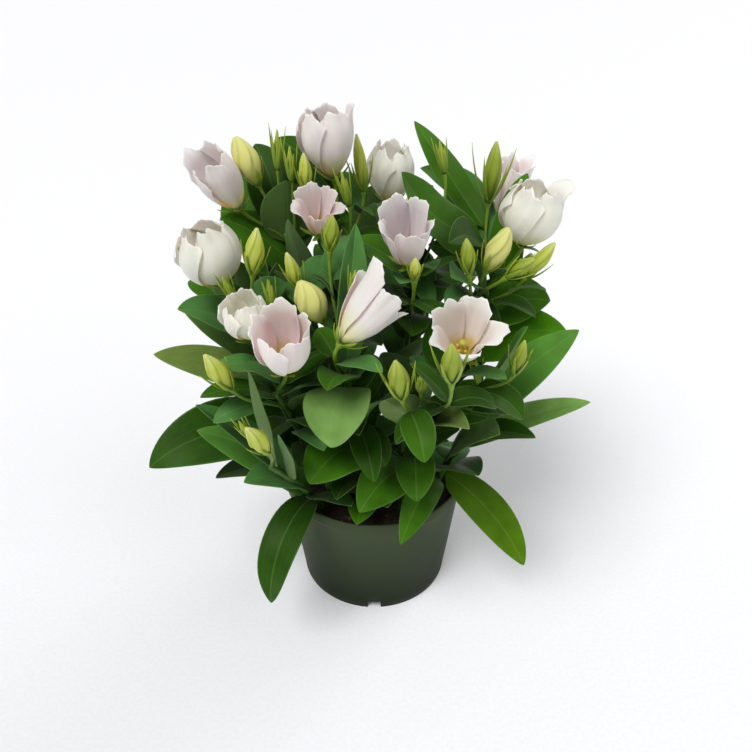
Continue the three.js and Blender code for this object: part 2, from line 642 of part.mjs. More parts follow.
// A stalk that ends in a flat seat with five pointed sepals round it, as one closed body.
function stalkSolid(stem, share, base, axis, seat, inner, sepals, spread, thin) {
  const sides = 5;
  const points = [];
  const faces = [];
  const shares = inner > 2 ? [0, 0.4, 0.8, 1] : [0, 0.6, 1];
  const radii = shares.map((t) => (t < 1 ? thin : seat));
  let frame = null;
  shares.forEach((t, row) => {
    const near = stalkPoint(stem, share, base, axis, Math.max(0, t - 0.02));
    const next = stalkPoint(stem, share, base, axis, Math.min(1, t + 0.02));
    const along = row === shares.length - 1 ? axis : unit(add(next, near, -1));
    const centre = stalkPoint(stem, share, base, axis, t);
    if (frame === null) frame = across(along)[0];
    frame = unit(add(frame, along, -dot(frame, along)));
    const side = cross(along, frame);
    for (let k = 0; k < sides; k++) {
      const a = (2 * Math.PI * k) / sides;
      const rim = add(scaled(frame, Math.cos(a) * radii[row]), side, Math.sin(a) * radii[row]);
      points.push(add(centre, rim));
    }
  });
  for (let k = 1; k < sides - 1; k++) faces.push([0, k + 1, k]);
  for (let row = 0; row < shares.length - 1; row++)
    for (let k = 0; k < sides; k++) {
      const n = (k + 1) % sides;
      const [a, b, c, d] = [row * sides + k, row * sides + n, (row + 1) * sides + n, (row + 1) * sides + k];
      faces.push([a, b, c], [a, c, d]);
    }
  const top = (shares.length - 1) * sides;
  const middle = points.push(stalkPoint(stem, share, base, axis, 1)) - 1;
  const side = cross(axis, frame);
  for (let k = 0; k < sides; k++) {
    const n = (k + 1) % sides;
    const a = (2 * Math.PI * (k + 0.5)) / sides;
    const outward = add(scaled(frame, Math.cos(a)), side, Math.sin(a));
    const seatPoint = points.push(add(points[middle], outward, inner)) - 1;
    const long = sepals * (0.86 + 0.07 * ((k * 3) % 5));
    const lifted = add(points[middle], axis, long * Math.cos(radians(spread)));
    const apex = points.push(add(lifted, outward, inner + 0.5 + long * Math.sin(radians(spread)))) - 1;
    faces.push([top + k, top + n, apex], [top + n, seatPoint, apex], [seatPoint, top + k, apex]);
    faces.push([middle, top + k, seatPoint], [middle, seatPoint, top + n]);
  }
  return solidOf(points, faces);
}

// A small green bud on its own stalk, all one tube.
function greenBudSolid(stem, share, base, tip) {
  const body = add(tip, base, -1);
  const axis = unit(body);
  const rings = [0, 0.5, 1].map((t) => {
    const near = stalkPoint(stem, share, base, axis, Math.max(0, t - 0.02));
    const next = stalkPoint(stem, share, base, axis, Math.min(1, t + 0.02));
    return { centre: stalkPoint(stem, share, base, axis, t), axis: unit(add(next, near, -1)), radius: 1 };
  });
  const tall = length(body);
  rings.push({ centre: add(base, axis, 0.35 * tall), axis, radius: 2.6 });
  rings.push({ centre: tip, axis, radius: 0 });
  return tube(rings, 4);
}

function stemSolid(name) {
  const [x, y, z] = stemPoint(name, 0);
  const rings = [STEM_FOOT, z].map((height) => ({
    centre: [x, y, height],
    axis: [0, 0, 1],
    radius: STEM_FOOT_RADIUS,
  }));
  for (let i = 1; i <= 4; i++) {
    const t = i / 4;
    const along = unit(add(stemPoint(name, Math.min(1, t + 0.01)), stemPoint(name, t - 0.01), -1));
    const radius = STEM_FOOT_RADIUS + (STEM_TOP_RADIUS - STEM_FOOT_RADIUS) * t;
    rings.push({ centre: add(stemPoint(name, t), along, i === 4 ? 2 : 0), axis: along, radius });
  }
  return tube(rings, 5);
}

// A leaf's blade. Its first row is narrow and lies inside the stem.
function leafSolid(leaf) {
  const grid = [[-0.3, 0, 0.3].map((v) => leafPoint(leaf, 1.1 / leaf.reach, v))];
  for (const u of leaf.large ? LARGE_ROWS : LEAF_ROWS)
    grid.push([-1, 0, 1].map((v) => leafPoint(leaf, u, v)));
  return sheet(grid, BLADE_THICKNESS);
}

// The pistil with its broad head, and five stamens that lean away from it, as one body.
function pistilSolid(bloom) {
  const [, floor] = wallAt(bloom, PETAL_ROWS[0], 0);
  const [first, second] = [bloom.low, cross(bloom.axis, bloom.low)];
  const axis = bloom.axis;
  const at = (h) => add(bloom.base, axis, floor + SEAT_GAP + h);
  const profile = [[0, 1.1], [3.5, 2.1], [7, 0.8], [11.5, 0.8], [13, 2.4], [14, 0]];
  const pieces = [tube(profile.map(([h, radius]) => ({ centre: at(h), axis, radius })), 5)];
  for (let k = 0; k < 5; k++) {
    const a = radians(72 * k + 36);
    const out = add(scaled(first, Math.cos(a)), second, Math.sin(a));
    const lean = unit(add(axis, out, 0.3));
    const stamen = [[2.5, 1.4, 0.5], [6.6, 2.6, 1], [9, 3.4, 0]];
    const rings = stamen.map(([h, r, radius]) => ({ centre: add(at(h), out, r), axis: lean, radius }));
    pieces.push(tube(rings, 3));
  }
  return joined(pieces);
}

// The pot: a thin wall on a floor with a raised ring round it, and notches through the foot below
// that ring.
function potSolid() {
  const lip = RIM_RADIUS;
  const profile = [
    [0, 0], [43, 0], [46, 6.4], [56.2, 6.4], [56.8, 0], [FOOT_RADIUS, 0],
    [lip - 1.4, 88], [lip, 89.2], [lip, POT_HEIGHT],
    [lip - WALL - 0.6, POT_HEIGHT], [FOOT_RADIUS - WALL + 0.9, 9],
    [44.5, 9], [41.5, 2.4], [0, 2.4],
  ].map(([r, z]) => new THREE.Vector2(r, z));
  const lathe = new THREE.LatheGeometry(profile, POT_SIDES);
  lathe.rotateX(Math.PI / 2);
  lathe.deleteAttribute("normal");
  lathe.deleteAttribute("uv");
  const merged = mergeVertices(lathe, 1e-3);
  const points = [];
  const position = merged.getAttribute("position");
  for (let i = 0; i < position.count; i++)
    points.push([position.getX(i), position.getY(i), position.getZ(i)]);
  const faces = [];
  for (let i = 0; i < merged.index.count; i += 3) {
    const face = [merged.index.getX(i), merged.index.getX(i + 1), merged.index.getX(i + 2)];
    if (new Set(face).size === 3) faces.push(face);
  }
  let pot = solidOf(points, faces);
  for (let k = 0; k < NOTCH_COUNT; k++) {
    const notch = wasm.Manifold.cube([8, NOTCH_WIDTH, NOTCH_HEIGHT * 2], true)
      .translate([FOOT_RADIUS - 1, 0, 0])
      .rotate([0, 0, (360 * k) / NOTCH_COUNT - RIGHT_ANGLE]);
    pot = pot.subtract(notch);
  }
  return pot;
}

// The peat: a body that fills the pot, with an uneven top and a plain hole for each stem.
function peatSolid() {
  const draw = randomFrom(7);
  const inner = (z) => {
    const foot = FOOT_RADIUS - WALL + 0.9;
    const top = RIM_RADIUS - WALL - 0.6;
    return foot + ((top - foot) * (z - 9)) / (POT_HEIGHT - 9) - 0.55;
  };
  const points = [];
  const faces = [];
  const rings = [
    [39.5, 2.75], [43.7, 9.35], [inner(9.35), 9.35], [inner(PEAT_TOP - 1), PEAT_TOP - 1],
    [52, PEAT_TOP], [34, PEAT_TOP], [16, PEAT_TOP],
  ];
  rings.forEach(([radius, z], row) => {
    for (let k = 0; k < PEAT_SIDES; k++) {
      const a = (2 * Math.PI * (k + (row > 3 && row % 2 ? 0.5 : 0))) / PEAT_SIDES;
      const bump = row > 3 ? (draw() - 0.6) * 4.5 : 0;
      const shift = row > 3 ? (draw() - 0.5) * 5 : 0;
      points.push([(radius + shift) * Math.cos(a), (radius + shift) * Math.sin(a), z + bump]);
    }
  });
  for (let row = 0; row < rings.length - 1; row++)
    for (let k = 0; k < PEAT_SIDES; k++) {
      const n = (k + 1) % PEAT_SIDES;
      const [a, b] = [row * PEAT_SIDES + k, row * PEAT_SIDES + n];
      const [c, d] = [(row + 1) * PEAT_SIDES + n, (row + 1) * PEAT_SIDES + k];
      faces.push([a, b, c], [a, c, d]);
    }
  const under = points.push([0, 0, 2.75]) - 1;
  const over = points.push([0, 0, PEAT_TOP - 1]) - 1;
  const last = (rings.length - 1) * PEAT_SIDES;
  for (let k = 0; k < PEAT_SIDES; k++) {
    const n = (k + 1) % PEAT_SIDES;
    faces.push([under, n, k], [over, last + k, last + n]);
  }
  let peat = solidOf(points, faces);
  for (const name of Object.keys(STEMS)) {
    const [x, y] = stemPoint(name, 0);
    const hole = wasm.Manifold.cylinder(60, STEM_FOOT_RADIUS + HOLE_GAP, STEM_FOOT_RADIUS + HOLE_GAP, 6)
      .translate([x, y, STEM_FOOT - HOLE_GAP]);
    peat = peat.subtract(hole);
  }
  return peat;
}

// Plan: stems and stalks first, then blooms and buds, then the large leaves, then the leaves set by rule.
const leaves = {};
for (const name of Object.keys(STEMS)) {
  leaves[name] = [];
  const points = [];
  for (let i = 0; i <= 40; i++) points.push([...stemPoint(name, i / 40), 2.6]);
  remember(name, "stem", points);
}
const blooms = Object.fromEntries(Object.keys(BLOOMS).map((name) => [name, bloomPlan(name)]));
const buds = Object.fromEntries(Object.keys(BUDS).map((name) => [name, budPlan(name)]));
for (const plan of [...Object.values(blooms), ...Object.values(buds)]) {
  const points = [];
  for (let i = 2; i <= 22; i++)
    points.push([...stalkPoint(plan.stem, plan.share, plan.base, plan.axis, i / 22), 1.5]);
  remember(plan.stem, "stalk", points);
}
for (const [stem, share, x, y, z, tipX, tipY, tipZ] of GREEN_BUDS) {
  const base = [x, y, z];
  const tip = [tipX, tipY, tipZ];
  const axis = unit(add(tip, base, -1));
  const points = [];
  for (let i = 2; i <= 16; i++) points.push([...stalkPoint(stem, share, base, axis, i / 16), 1.5]);
  for (let i = 0; i <= 5; i++) points.push([...mix(base, tip, i / 5), 2.8]);
  remember(stem, "stalk", points);
}
for (const [name, plan] of Object.entries(blooms)) remember("bloom_" + name, "bloom", bloomSamples(plan));
for (const [name, plan] of Object.entries(buds)) remember("bud_" + name, "bud", budSamples(plan));

function grow(stem, leaf, turns, lifts, sizes, margin, inside = clearOfPot) {
  const settled = settle(leaf, stem, turns, lifts, sizes, margin, inside);
  if (settled === null) return;
  leaves[stem].push(settled);
  remember(stem, "blade", leafSamples(settled));
}

const TURNS = [0, 4, -4, 8, -8, 13, -13];
const LIFTS = [0, 5, -5, 10, -10, 16, -16];
for (const [stem, share, x, y, z, bend, width, roll, cup] of LARGE_LEAVES) {
  const leaf = leafTo(stemPoint(stem, share), [x, y, z], bend, width, roll, cup);
  grow(stem, leaf, TURNS, LIFTS, [1, 0.92, 0.84, 0.7], 0.2);
}
for (const [bud, share, x, y, z, bend, width, roll, cup] of BRACT_LEAVES) {
  const plan = buds[bud];
  const base = stalkPoint(plan.stem, plan.share, plan.base, plan.axis, share);
  grow(plan.stem, leafTo(base, [x, y, z], bend, width, roll, cup), TURNS, LIFTS, [1, 0.9, 0.8, 0.65], 0.2);
}
const draw = randomFrom(20);
for (const [name, row] of Object.entries(STEMS)) {
  const pairs = row[6];
  for (let pair = 0; pair < pairs; pair++) {
    const share = 0.2 + (0.76 * pair) / Math.max(1, pairs - 1);
    for (const half of [0, 180]) {
      const reach = 72 - 34 * share + 10 * draw();
      const leaf = {
        base: stemPoint(name, share),
        azimuth: row[7] + RIGHT_ANGLE * pair + half + 24 * (draw() - 0.5),
        rise: 42 + 22 * draw(),
        reach,
        width: reach * (0.4 + 0.08 * draw()),
        bend: 40 + 50 * draw(),
        roll: 30 * (draw() - 0.5),
        cup: 10 + 14 * draw(),
      };
      grow(name, leaf, [0, 12, -12, 24, -24, 36, -36], [0, 14, -14, 28], [1, 0.8, 0.62], 0.6, withinCrown);
    }
  }
}

for (const plan of Object.values(blooms)) {
  const leaf = {
    base: stalkPoint(plan.stem, plan.share, plan.base, plan.axis, 0.5),
    azimuth: (Math.atan2(plan.base[1], plan.base[0]) * 180) / Math.PI + 120 * (draw() - 0.5),
    rise: 30 + 20 * draw(),
    reach: 26 + 10 * draw(),
    width: 13 + 5 * draw(),
    bend: 30 + 30 * draw(),
    roll: 40 * (draw() - 0.5),
    cup: 12 + 10 * draw(),
  };
  grow(plan.stem, leaf, [0, 20, -20, 40, -40], [0, 18, -18], [1, 0.8], 0.2);
}

// Build every node.
const plant = new THREE.Group();
plant.name = "potted_lisianthus";
plant.add(meshOf("pot", potSolid(), 0x4a5a4a));
plant.add(meshOf("peat", peatSolid(), 0x2c2018));
for (const name of Object.keys(STEMS)) {
  const pieces = [stemSolid(name)];
  for (const bloom of Object.values(blooms))
    if (bloom.stem === name)
      pieces.push(stalkSolid(name, bloom.share, bloom.base, bloom.axis, 3.3, 2.3, 11, 52, 1.3));
  for (const bud of Object.values(buds))
    if (bud.stem === name) {
      const seat = bud.width > 14 ? 2.9 : 2.2;
      const spread = 15 + bud.width;
      pieces.push(stalkSolid(name, bud.share, bud.base, bud.axis, seat, seat - 0.7, bud.sepals, spread, 1.1));
    }
  for (const [stem, share, x, y, z, tipX, tipY, tipZ] of GREEN_BUDS)
    if (stem === name) pieces.push(greenBudSolid(stem, share, [x, y, z], [tipX, tipY, tipZ]));
  for (const leaf of leaves[name]) pieces.push(leafSolid(leaf));
  plant.add(meshOf("stem_" + name, joined(pieces), 0x3f7a35));
}
for (const [name, bloom] of Object.entries(blooms))
  plant.add(meshOf("bloom_" + name, bloomSolid(bloom), 0xe6d9e4));
for (const [name, bud] of Object.entries(buds)) plant.add(meshOf("bud_" + name, budSolid(bud), 0xc9d58a));
for (const name of OPEN_BLOOMS) plant.add(meshOf("pistil_" + name, pistilSolid(blooms[name]), 0xb9c040));

export default plant;
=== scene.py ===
"""A potted lisianthus in flower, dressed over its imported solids.

Shapes are worked out in millimetres, in the solids' own frame, and put into meshes in metres.
The plan of stems, buds and large leaves is the one that the solids were made from, and so is that of the
blooms, apart from four whose petals open or close by some degrees more.
"""
from __future__ import annotations

import logging
import math
from dataclasses import dataclass, field, replace
from enum import Enum
from functools import partial
from itertools import product
from typing import Callable, Iterator, Sequence

import bpy
import numpy as np
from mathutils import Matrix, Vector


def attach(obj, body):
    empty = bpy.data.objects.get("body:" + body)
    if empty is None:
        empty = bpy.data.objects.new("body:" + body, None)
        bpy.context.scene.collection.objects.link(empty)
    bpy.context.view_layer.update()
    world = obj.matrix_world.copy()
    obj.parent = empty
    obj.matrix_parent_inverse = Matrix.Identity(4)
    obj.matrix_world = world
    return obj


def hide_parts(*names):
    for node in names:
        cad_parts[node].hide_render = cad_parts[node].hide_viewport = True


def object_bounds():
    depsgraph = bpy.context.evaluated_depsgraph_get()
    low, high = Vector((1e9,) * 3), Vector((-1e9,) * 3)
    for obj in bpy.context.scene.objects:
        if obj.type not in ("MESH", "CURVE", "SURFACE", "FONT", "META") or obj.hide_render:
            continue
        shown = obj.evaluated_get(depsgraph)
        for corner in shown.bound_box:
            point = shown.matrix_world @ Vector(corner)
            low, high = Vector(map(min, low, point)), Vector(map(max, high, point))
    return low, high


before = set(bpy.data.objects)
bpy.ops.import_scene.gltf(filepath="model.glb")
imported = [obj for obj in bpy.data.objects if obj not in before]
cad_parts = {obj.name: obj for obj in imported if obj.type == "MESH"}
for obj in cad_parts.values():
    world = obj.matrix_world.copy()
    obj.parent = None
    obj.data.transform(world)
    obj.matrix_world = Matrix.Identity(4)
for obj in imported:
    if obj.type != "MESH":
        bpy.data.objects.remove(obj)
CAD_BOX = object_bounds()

Array = np.ndarray
Socket = bpy.types.NodeSocket
MM = 0.001
log = logging.getLogger("lisianthus")

# Pot and peat, as in the solids; stems start at the collar, just above the peat
POT_HEIGHT = 97.0
RIM_RADIUS = 70.0
FOOT_RADIUS = 58.5
WALL = 1.6
NOTCH_COUNT = 3
NOTCH_WIDTH = 10.0
NOTCH_HEIGHT = 6.2
PEAT_TOP = 84.0
PEAT_REACH = 58.0
COLLAR = 87.0

# Growth; a long leaf gets a finer grid, and a swollen bud a fuller outline and a wider seat
STEM_FOOT_RADIUS = 2.7
STEM_TOP_RADIUS = 1.7
SEAT_GAP = 0.35
LAP = 1.5
LEAF_GAUGE = 0.55
LONG_LEAF = 48.0
PETAL_GAUGE = 0.42
THROAT = 1.5
WALL_STRETCH = 1.12
GREEN_BUD_RADIUS = 3.0
SWOLLEN_WIDTH = 14.0

# The radius that a sample of each thing stands for, where leaves look for room
LEAF_SAMPLE = 2.7
STEM_SAMPLE = 2.6
STALK_SAMPLE = 1.5
GREEN_BUD_SAMPLE = 2.8
BLOOM_SAMPLE = 3.6

# The crown that leaves set by rule may fill: radius low down, height from which it widens, and how fast
CROWN_RADIUS = 80.0
CROWN_WIDENS_AT = 115.0
CROWN_SLOPE = 0.75

# Each stem: foot x, y; fork x, y, z; share of the lean that the middle takes; pairs of leaves; first bearing.
STEMS = {
    "left_back": (-24, 20, -60, 16, 282, 0.3, 3, 100),
    "left": (-44, -2, -80, -28, 238, 0.55, 3, 150),
    "left_front": (-32, -26, -60, -78, 214, 0.35, 3, 200),
    "low_left": (-40, -34, -62, -104, 178, 0.5, 1, 215),
    "centre_back": (-6, 16, -24, 12, 268, 0.3, 3, 60),
    "centre_front": (-4, -38, -16, -88, 232, 0.35, 3, 250),
    "centre": (18, 2, 26, -4, 256, 0.3, 3, 20),
    "right": (38, 12, 74, -2, 252, 0.35, 3, 340),
    "low_right": (45, -18, 72, -54, 190, 0.5, 1, 320),
    "right_front": (20, -34, 44, -94, 220, 0.3, 3, 300),
    "back_left": (-18, 42, -48, 82, 238, 0.4, 4, 130),
    "back_right": (22, 40, 48, 84, 236, 0.4, 4, 45),
}


class Hue(Enum):
    """The petal colours of the blooms."""

    LILAC = "lilac"
    CREAM = "cream"
    MAUVE = "mauve"
    LAVENDER = "lavender"
    BLUSH = "blush"
    IVORY = "ivory"


# Each bloom: stem, share of the stem where its stalk leaves it, base x, y, z, tilt and bearing of its axis,
# length, angle of its wall from the axis at the base, middle and rim, half width of a petal in degrees,
# angle of the first petal from the side that the bloom leans to, flare and length of the five petals,
# how far each petal's rim rolls outwards in degrees, and its colour.
BLOOMS = {
    "top": ("centre_back", 0.97, -26, 20, 318, 8, -158, 42, 44, 21, -52, 47, 68,
            (0, 30, 2, 0, 4), (0.98, 0.98, 1, 1, 1), (0, 48, 0, 0, 0), Hue.LILAC),
    "left_back": ("left_back", 0.96, -87, 8, 302, 30, -140, 40, 40, 14, -34, 47, 50,
                  (6, 0, 0, 8, 0), (0.96, 0.92, 1.06, 1.1, 0.9), (50, 0, 10, 40, 30), Hue.LILAC),
    "left": ("left", 0.97, -94, -26, 265, 22, -140, 42, 60, 22, -72, 47, 45,
             (0, 8, 4, 2, 2), (1.06, 0.96, 0.98, 1.02, 1.06), (0, 60, 30, 0, 0), Hue.CREAM),
    "back": ("centre", 0.98, 11, 50, 292, 4, -64, 39, 50, 18, -58, 47, -26,
             (2, 0, 0, 6, 4), (0.94, 1, 1.04, 1.04, 1), (0, 0, 0, 30, 30), Hue.CREAM),
    "middle": ("centre_back", 0.9, -35, -15, 293, 28, -82, 28, 36, 18, 20, 46, -8,
               (0, 10, 0, 4, 8), (0.85, 1.05, 1, 1.05, 1.08), (20, 60, -20, -10, 50), Hue.MAUVE),
    "centre": ("centre", 0.94, 20, -50, 287, 26, -97, 38, 44, 14, -4, 46, 7,
               (2, 10, 2, 0, 10), (0.94, 0.94, 1, 1.08, 1.02), (20, 60, 10, 0, 50), Hue.LAVENDER),
    "right_back": ("right", 0.97, 92, 54, 276, 12, -50, 44, 34, 8, -6, 46, -60,
                   (2, 0, 2, 4, 2), (0.95, 1, 1.04, 1, 0.96), (30, 20, 40, 20, 30), Hue.BLUSH),
    "right": ("right", 0.9, 94, -15, 286, 14, -70, 40, 56, 22, -60, 47, -20,
              (0, 24, 0, 0, 2), (1.03, 1.06, 0.98, 1.02, 1.06), (0, 100, 0, 0, 0), Hue.CREAM),
    "left_low": ("left_front", 0.9, -71, -75, 251, 14, -127, 28, 54, 22, -50, 47, 37,
                 (0, 4, 2, 0, 4), (1, 0.92, 1, 1, 0.95), (0, 40, 0, 0, 0), Hue.CREAM),
    "front_left": ("left_front", 0.98, -49, -100, 244, 20, -86, 36, 58, 16, -12, 47, 32,
                   (0, 2, 4, 4, 0), (0.98, 1, 1.1, 1.06, 0.98), (0, 20, 10, 30, 0), Hue.BLUSH),
    "front": ("centre_front", 0.96, -17, -105, 264, 46, 26, 37, 44, 18, 10, 46, 180,
              (-8, 2, 8, 10, 4), (1.22, 1, 0.95, 0.95, 1), (0, 20, 50, 60, 40), Hue.BLUSH),
    "front_right": ("right_front", 0.97, 50, -95, 249, 30, -100, 33, 42, 20, 12, 45, 10,
                    (9, 10, 0, 2, 8), (1.02, 1.12, 1.1, 1.06, 1.04), (60, 50, 0, 0, 50), Hue.IVORY),
    "rear_left": ("back_left", 0.97, -66, 100, 258, 38, 118, 37, 50, 24, 8, 47, 0,
                  (12, 6, 0, 2, 10), (0.95, 1.05, 1, 1, 1), (50, 30, 0, 20, 40), Hue.LILAC),
    "rear_right": ("back_right", 0.97, 70, 100, 254, 36, 56, 39, 52, 24, 10, 47, 20,
                   (10, 8, 0, 2, 8), (0.95, 1, 1.06, 1, 1), (50, 30, 0, 10, 40), Hue.BLUSH),
    "rear": ("back_left", 0.88, -8, 106, 244, 42, 88, 34, 50, 20, -46, 47, 10,
             (4, 8, 0, 4, 2), (0.95, 1, 1.05, 1, 1), (40, 0, 0, 0, 20), Hue.CREAM),
}

# The blooms that stand open enough to show what they hold.
OPEN_BLOOMS = ("centre", "front_left", "front_right")

# Each bud: stem, share of the stem, base x, y, z, tip x, y, z, width, twist, length of its sepals.
BUDS = {
    "left_tip": ("left_back", 0.98, -75, 15, 316, -86, 12, 345, 18, 70, 15),
    "middle_tip": ("centre_back", 0.98, -42, 2, 314, -43, 2, 338, 9, 60, 16),
    "middle_back": ("centre_back", 0.95, -7, 26, 308, -11, 26, 344, 9, 60, 22),
    "middle_front": ("centre_front", 0.98, -25, -55, 298, -23, -56, 318, 10, 60, 12),
    "left_mid": ("left", 0.98, -70, -58, 284, -65, -60, 312, 12, 80, 18),
    "left_inner": ("left", 0.9, -44, -54, 273, -50, -56, 296, 9, 60, 16),
    "swollen": ("centre_front", 0.9, -30, -73, 262, -41, -77, 287, 19, 90, 13),
    "left_outer": ("left_front", 0.8, -81, -100, 232, -91, -108, 258, 12.5, 80, 18),
    "low_left": ("low_left", 0.98, -59, -124, 205, -67, -135, 229, 11.5, 70, 14),
    "right_inner": ("right", 0.86, 56, -54, 283, 53, -55, 304, 9.5, 60, 13),
    "right_pale": ("right", 0.94, 68, -46, 282, 77, -52, 309, 15, 90, 16),
    "right_mid": ("right", 0.9, 79, -55, 281, 92, -60, 294, 10, 60, 14),
    "right_outer": ("right", 0.84, 96, -32, 271, 110, -32, 293, 10, 60, 15),
    "right_tip": ("right", 1.0, 75, 14, 304, 77, 14, 342, 12, 50, 34),
    "centre_front": ("centre", 0.8, 23, -74, 288, 23, -77, 301, 7, 60, 9),
    "front_low": ("right_front", 0.8, 39, -141, 262, 37, -147, 286, 11, 70, 22),
    "front_side": ("right_front", 0.98, 80, -96, 240, 83, -99, 262, 8, 60, 16),
    "front_mid": ("right_front", 0.86, 15, -130, 245, 11, -135, 270, 12, 70, 22),
    "rear_a": ("back_left", 0.98, -94, 70, 252, -104, 78, 276, 13, 80, 17),
    "rear_b": ("back_left", 0.8, -38, 114, 238, -40, 122, 262, 12, 70, 16),
    "rear_c": ("back_right", 0.98, 28, 108, 252, 28, 115, 277, 14, 80, 18),
    "rear_d": ("back_right", 0.76, 84, 108, 212, 91, 118, 232, 12, 70, 16),
    "rear_e": ("right", 0.8, 104, 24, 242, 111, 30, 262, 12, 70, 15),
    "rear_f": ("left", 0.8, -116, 12, 252, -127, 14, 272, 12, 70, 16),
}
PALE_BUDS = ("left_tip", "swollen", "right_pale")
YOUNG_BUDS = ("right_inner", "right_mid", "right_tip", "front_low", "front_side", "front_mid", "middle_front",
              "rear_d", "rear_e")

# Each small green bud: stem, share of the stem, base x, y, z, tip x, y, z.
GREEN_BUDS = (
    ("left_back", 0.9, -62, 20, 324, -61, 22, 348),
    ("left_back", 0.85, -52, 8, 320, -52, 6, 341),
    ("centre_back", 0.86, -16, 2, 306, -20, 0, 327),
    ("centre_front", 0.86, -12, -74, 276, -10, -72, 292),
    ("left_front", 0.88, -60, -58, 262, -62, -57, 280),
    ("centre", 0.88, 45, 12, 324, 41, 12, 343),
    ("right_front", 0.9, 26, -112, 238, 26, -116, 252),
    ("left", 0.88, -84, -52, 264, -88, -58, 282),
    ("low_right", 0.98, 66, -66, 214, 62, -70, 232),
    ("low_left", 0.8, -72, -100, 196, -78, -104, 212),
    ("back_left", 0.9, -60, 60, 268, -62, 58, 286),
    ("back_right", 0.9, 58, 58, 266, 60, 56, 284),
    ("centre", 0.84, 36, 66, 268, 38, 72, 288),
)


class Green(Enum):
    """The leaf colours, as sRGB hex."""

    PALE = "#688c47"
    BLUE = "#457138"
    DEEP = "#224406"
    MID = "#325c0a"
    BRIGHT = "#396a06"
    FRESH = "#46722a"
    LIME = "#446806"
    OLIVE = "#63763a"


# Each large leaf: stem, share of it, tip x, y, z, bend in degrees, width, roll about its rib, rise of its
# two halves in degrees, and its colour.
LARGE_LEAVES = (
    ("left", 0.28, -155, -55, 138, 76, 44, -42, 6, Green.DEEP),
    ("low_left", 0.18, -71, -102, 57, 118, 27, -4, 10, Green.DEEP),
    ("low_right", 0.22, 110, -67, 57, 50, 26, 40, 8, Green.LIME),
    ("low_right", 0.8, 124, -60, 248, 14, 27, 58, 12, Green.FRESH),
    ("right_front", 0.3, -9, -100, 138, 70, 32, -28, 10, Green.MID),
    ("low_right", 0.14, 8, -92, 107, 60, 22, -30, 10, Green.BRIGHT),
    ("centre_front", 0.92, -25, -118, 203, 118, 38, 8, 5, Green.PALE),
    ("low_left", 0.25, -112, -76, 185, 34, 27, -52, 14, Green.FRESH),
    ("left", 0.55, -143, -40, 220, 30, 25, -42, 14, Green.OLIVE),
    ("left", 0.75, -117, -50, 255, 24, 29, -48, 12, Green.PALE),
    ("left", 0.9, -110, -62, 277, 26, 27, -40, 12, Green.BLUE),
    ("low_left", 0.5, -107, -82, 209, 16, 22, -30, 30, Green.BLUE),
    ("low_right", 0.5, 149, -34, 178, 26, 19, 30, 20, Green.PALE),
    ("low_right", 0.4, 107, -62, 170, 62, 25, 12, 24, Green.DEEP),
    ("low_right", 0.35, 86, -86, 191, 50, 28, 48, 12, Green.PALE),
    ("right_front", 0.65, -5, -112, 237, 6, 27, 42, 30, Green.OLIVE),
    ("right_front", 0.5, 22, -112, 251, -8, 22, 68, 30, Green.BLUE),
    ("right_front", 0.55, 42, -124, 243, 30, 26, 34, 36, Green.OLIVE),
    ("centre_front", 0.45, -40, -96, 158, 84, 36, -16, 8, Green.MID),
    ("centre_front", 0.03, -12, -72, 101, 64, 20, 0, 12, Green.BRIGHT),
    ("centre_front", 0.6, 0, -104, 166, 96, 18, 20, 14, Green.DEEP),
    ("right", 0.8, 117, -14, 246, 52, 40, 36, 8, Green.MID),
    ("right", 0.65, 123, -36, 232, 36, 36, 58, 8, Green.BRIGHT),
    ("low_right", 1.0, 87, -84, 263, -12, 25, 42, 22, Green.MID),
    ("right", 0.95, 54, -62, 288, 30, 26, -30, 10, Green.BLUE),
    ("centre", 1.0, 46, -50, 286, 40, 22, 10, 12, Green.BLUE),
    ("low_left", 0.95, -69, -112, 250, -10, 22, -30, 24, Green.DEEP),
    ("low_left", 0.35, -68, -96, 168, 44, 24, -20, 14, Green.BLUE),
    ("low_left", 0.7, -53, -118, 212, -8, 18, -60, 24, Green.BLUE),
    ("left_back", 0.95, -52, -10, 318, 14, 36, 0, 12, Green.DEEP),
    ("left_back", 0.85, -94, 0, 300, 30, 34, -42, 10, Green.MID),
    ("centre_front", 1.0, -16, -50, 311, 6, 20, 36, 26, Green.BLUE),
    ("left_back", 0.7, -52, -22, 304, 10, 24, -30, 16, Green.BLUE),
    ("left", 0.85, -60, -32, 280, 24, 30, 20, 12, Green.DEEP),
    ("centre_back", 0.75, -48, -20, 250, 40, 26, -20, 12, Green.DEEP),
    ("centre", 0.7, -1, 14, 279, 16, 30, 0, 10, Green.DEEP),
    ("left_back", 0.7, -68, 0, 266, 16, 30, 0, 12, Green.DEEP),
    ("left", 0.7, -83, -18, 275, 20, 28, 0, 12, Green.DEEP),
    ("centre", 0.5, 38, -20, 223, 30, 30, 0, 12, Green.DEEP),
    ("centre", 0.4, 7, -30, 217, 40, 28, 0, 12, Green.DEEP),
    ("left_back", 0.9, -46, 46, 334, 10, 28, 10, 10, Green.DEEP),
)

# Each bract leaf on a bud's stalk: bud, share of the stalk, tip x, y, z, bend, width, roll, rise, colour.
BRACT_LEAVES = (
    ("right_tip", 0.66, 28, 60, 346, -6, 19, -30, 22, Green.MID),
    ("right_tip", 0.5, 10, -10, 333, -34, 36, -48, 8, Green.MID),
    ("right_tip", 0.3, 34, -38, 298, 60, 26, -36, 20, Green.DEEP),
    ("rear_e", 0.8, 102, 25, 320, 126, 22, 20, 10, Green.MID),
    ("left_tip", 0.1, -72, 52, 332, 40, 32, -24, 10, Green.DEEP),
    ("right_tip", 0.45, 54, 52, 316, 12, 30, -34, 14, Green.BLUE),
)

